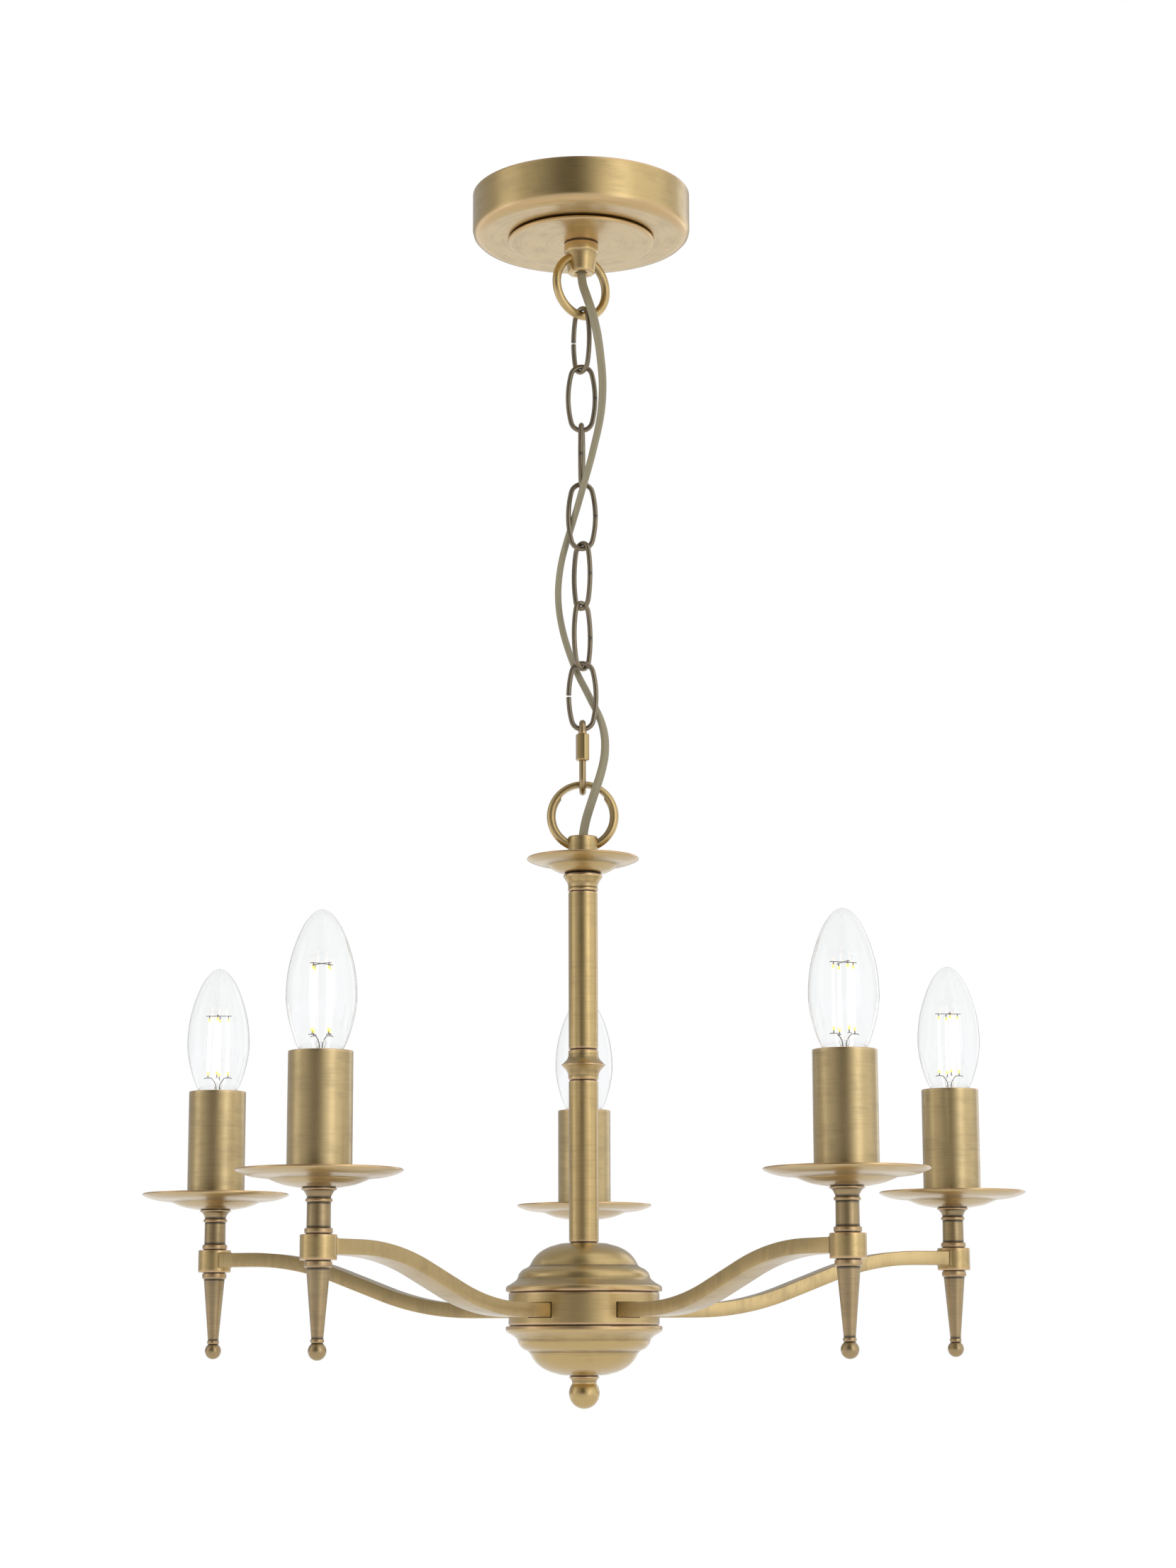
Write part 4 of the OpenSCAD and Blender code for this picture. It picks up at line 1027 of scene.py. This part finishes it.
def stemGlassSection():
    # flared foot in the cap, a thin tube, and the pinched press that holds the wires
    outside = smoothLine([(6.2, 0.3), (4.2, 3.2), (2.5, 6.5), (2.1, 9.5), (2.5, 11.6), (2.2, 13.2), (0, 13.8)])
    inside = [(max(x - 0.5, 0), z - 0.35) for x, z in outside]
    inside[-1] = (0, outside[-1][1] - 0.9)
    return outside + list(reversed(inside))


def capSection():
    c = lamp["cap"]
    thread = []
    for i in range(6):
        z = -2.6 - i * 2.35
        thread += [(c, z), (c - 0.15, z - 0.55), (c - 0.85, z - 1.2), (c - 0.15, z - 1.85)]
    low = zBottom("bulb_cap_1") - zTop("bulb_cap_1")
    return [(c - 0.6, 0), (c, -0.3, 0.2), (c, -2.2)] + thread + [
        (c - 0.3, -17.2), (c - 0.9, low + 3.9), (4.2, low + 2.6, 0.3), (3.6, low + 1.1, 0.3), (2.2, low + 0.6),
        (1.2, low + 0.1), (0, low), (0, low + 3), (c - 1.3, low + 4.5), (c - 1.0, -1)]


def rodTurn(k, i):
    return 2 * math.pi * i / lamp["rods"] + math.radians(lamp["turns"][k - 1]) - armTurn(k)


def sweptInto(bm, line, angle, radius, sides=8):
    # line: (radius, height) points of a wire that stays in one upright plane through the lamp's axis
    path = [(r * math.cos(angle), r * math.sin(angle), z) for r, z in line]
    addBody(bm, sweptBody(path, (2 * radius, 2 * radius), sides=sides))


def rodBody(k):
    bm = newBody()
    ring, lean, foot, head = lamp["rodRing"], lamp["lean"], lamp["rodLow"], lamp["rodHigh"]
    line = [(ring + lean - 2 * lean * share, foot + (head - foot) * share)
            for share in (0, 0.04, 0.08, 0.12, 0.5, 0.88, 0.92, 0.96, 1)]
    for i in range(lamp["rods"]):
        sweptInto(bm, line, rodTurn(k, i), lamp["rodRadius"], 10)
    layer = bm.verts.layers.float["wear"]
    for v in bm.verts:
        share = (v.co.z - foot) / (head - foot)
        v[layer] = within((min(share, 1 - share) - 0.05) / 0.04, 0.0, 1.0)
    return bm


def frameBody(k):
    # the wire frames: a cross at the top and the bottom, short legs to the rods and risers from the press
    bm = newBody()
    w, ring, lean, foot, head = (lamp[key] for key in ("wire", "rodRing", "lean", "rodLow", "rodHigh"))
    low, high = foot - lamp["frameGap"], head + lamp["frameGap"]
    lowR, highR = ring + lean, ring - lean
    wires = [(w, [(0.4, high), (highR + 1.3, high), (highR + 1.9, high - 0.3)]),
             (w * 1.3, [(highR, high + 0.1), (highR, head - 0.4)]),
             (w, [(lowR - 1.8, low), (lowR + 1.5, low), (lowR + 2.2, low - 0.4)]),
             (w * 1.3, [(lowR, low - 0.1), (lowR, foot + 0.4)])]
    riser = (w * 1.2, smoothLine([(0.9, 9), (1.3, 12.4), (lowR - 2.6, low - 0.8), (lowR - 1.8, low)], 3))
    for i in range(lamp["rods"]):
        for radius, line in wires + ([riser] if i % 2 == 0 else []):
            sweptInto(bm, line, rodTurn(k, i), radius)
    crown = [(0.5 * math.cos(a), 0.5 * math.sin(a), high) for a in [i * math.pi / 4 for i in range(8)]]
    addBody(bm, sweptBody(crown, (2 * w, 2 * w), closed=True, sides=6))
    return bm


def makeLamps():
    capTop = zTop("bulb_cap_1")
    height = zTop("bulb_glass_1") - capTop
    for k in range(1, 6):
        place = candlePlace(k) @ shifted(0, 0, capTop)
        for name, bm, used, nodes, slot in (
                ("lampGlass", turnedBody(glassSection(height), 96), "clearGlass", [f"bulb_glass_{k}"], "clear_glass"),
                ("lampStem", turnedBody(stemGlassSection(), 32), "stemGlass", (), "clear_glass"),
                ("lampRods", rodBody(k), "phosphor", (), None),
                ("lampFrame", frameBody(k), "frameWire", (), "nickel_cap"),
                ("lampCap", turnedBody(capSection(), 48), "nickelCap", [f"bulb_cap_{k}"], "nickel_cap")):
            finishPiece(f"{name}{k}", bm, used, f"bulb_{k}", nodes, place)


makeLamps()
print("lamps")

# inner parts that keep their CAD shape
innerParts = {"zincSteel": ("ceiling_bracket", "bracket_nut", "canopy_nipple", "hub_nut", "centre_rod"),
              "whitePlastic": ("terminal_block", "hub_terminal_ring"), "brownSleeve": ("supply_tails", "arm_leads")}
for used, nodes in innerParts.items():
    for node in nodes:
        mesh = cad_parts[node].data
        mesh.materials.clear()
        mesh.materials.append(materials[used])
print("inner parts")

# studio, in metres: each light's name, place, aim, size, watts and tint
studio = {"floor": -1.55, "floorRadius": 3.5,
          "lights": [("sideLight", (-2.3, -0.35, 0.1), (0, 0, -0.4), (1.0, 1.9), 3, (1.0, 0.985, 0.96)),
                     ("frontLight", (1.6, -1.8, 0.0), (0, 0, -0.45), (0.8, 1.9), 4, (1.0, 0.99, 0.97)),
                     ("backLight", (1.5, 1.6, 0.2), (0, 0, -0.4), (0.9, 1.6), 3, (1.0, 1.0, 1.0))]}


def makeStudio():
    bm = bmesh.new()
    bmesh.ops.create_circle(bm, cap_ends=True, segments=96, radius=studio["floorRadius"],
                            matrix=Matrix.Translation((0, 0, studio["floor"])))
    floor = newObject("floor", bm)
    floor.data.materials.append(materials["palePaint"])
    for name, place, target, size, power, tint in studio["lights"]:
        data = bpy.data.lights.new(name, "AREA")
        data.shape, data.size, data.size_y = "RECTANGLE", size[0], size[1]
        data.energy, data.color = power, tint
        light = bpy.data.objects.new(name, data)
        heading = Vector(target) - Vector(place)
        light.matrix_world = Matrix.Translation(place) @ heading.to_track_quat("-Z", "Y").to_matrix().to_4x4()
        light.visible_camera = light.visible_transmission = False
        scene.collection.objects.link(light)


# the panels that the metal reflects: turn from the front in degrees, and brightness
panels = {
    "level": [(-180, 0.4), (-152, 0.45), (-125, 0.4), (-98, 0.38), (-72, 0.6), (-46, 0.5), (-20, 0.05), (0, 0.0),
              (18, 0.6), (42, 1.9), (68, 1.7), (95, 0.9), (122, 0.5), (150, 0.5), (180, 0.4)],
    "below": [(-180, 1.2), (-110, 1.0), (-70, 0.8), (0, 0.75), (70, 0.9), (110, 1.0), (180, 1.2)],
    "tints": {"level": (1, 0.985, 0.965), "below": (1.0, 0.98, 1.1)}, "horizon": 0.01, "fade": -9.0,
}


def panelRamp(tree, share, name):
    ramp = nodeIn(tree, "ShaderNodeValToRGB")
    ramp.color_ramp.interpolation = "B_SPLINE"
    elements = ramp.color_ramp.elements
    for degrees, _ in panels[name][1:-1]:
        elements.new((degrees + 180) / 360)
    for element, (degrees, value) in zip(elements, panels[name]):
        element.position = (degrees + 180) / 360
        element.color = (*(value * tint for tint in panels["tints"][name]), 1)
    feed(tree, ramp.inputs[0], share)
    return ramp.outputs[0]


def makeWorld():
    # white to the eye, through the glass and for matt surfaces, and the soft upright panels for reflections
    world = bpy.data.worlds.new("studio")
    world.use_nodes = True
    scene.world = world
    tree = world.node_tree
    tree.nodes.clear()
    x, y, z = axesOf(tree, nodeIn(tree, "ShaderNodeTexCoord").outputs["Generated"])
    turn = mathNode(tree, "ARCTAN2", x, times(tree, y, -1.0))
    share = plus(tree, mathNode(tree, "DIVIDE", turn, 2 * math.pi), 0.5)
    sink = mathNode(tree, "MULTIPLY", plus(tree, z, panels["horizon"]), panels["fade"], clamp=True)
    soft, white = nodeIn(tree, "ShaderNodeBackground"), nodeIn(tree, "ShaderNodeBackground")
    feed(tree, soft.inputs[0], mixColor(tree, sink, panelRamp(tree, share, "level"),
                                        panelRamp(tree, share, "below")))
    feed(tree, white.inputs[0], (1, 1, 1))
    rays = nodeIn(tree, "ShaderNodeLightPath").outputs
    seen = rays["Is Camera Ray"]
    for kind in ("Is Transmission Ray", "Is Diffuse Ray"):
        seen = mathNode(tree, "MAXIMUM", seen, rays[kind])
    pick = nodeIn(tree, "ShaderNodeMixShader")
    setSockets(tree, pick, {0: seen, 1: soft.outputs[0], 2: white.outputs[0]})
    feed(tree, nodeIn(tree, "ShaderNodeOutputWorld").inputs[0], pick.outputs[0])


makeStudio()
makeWorld()
print("studio")
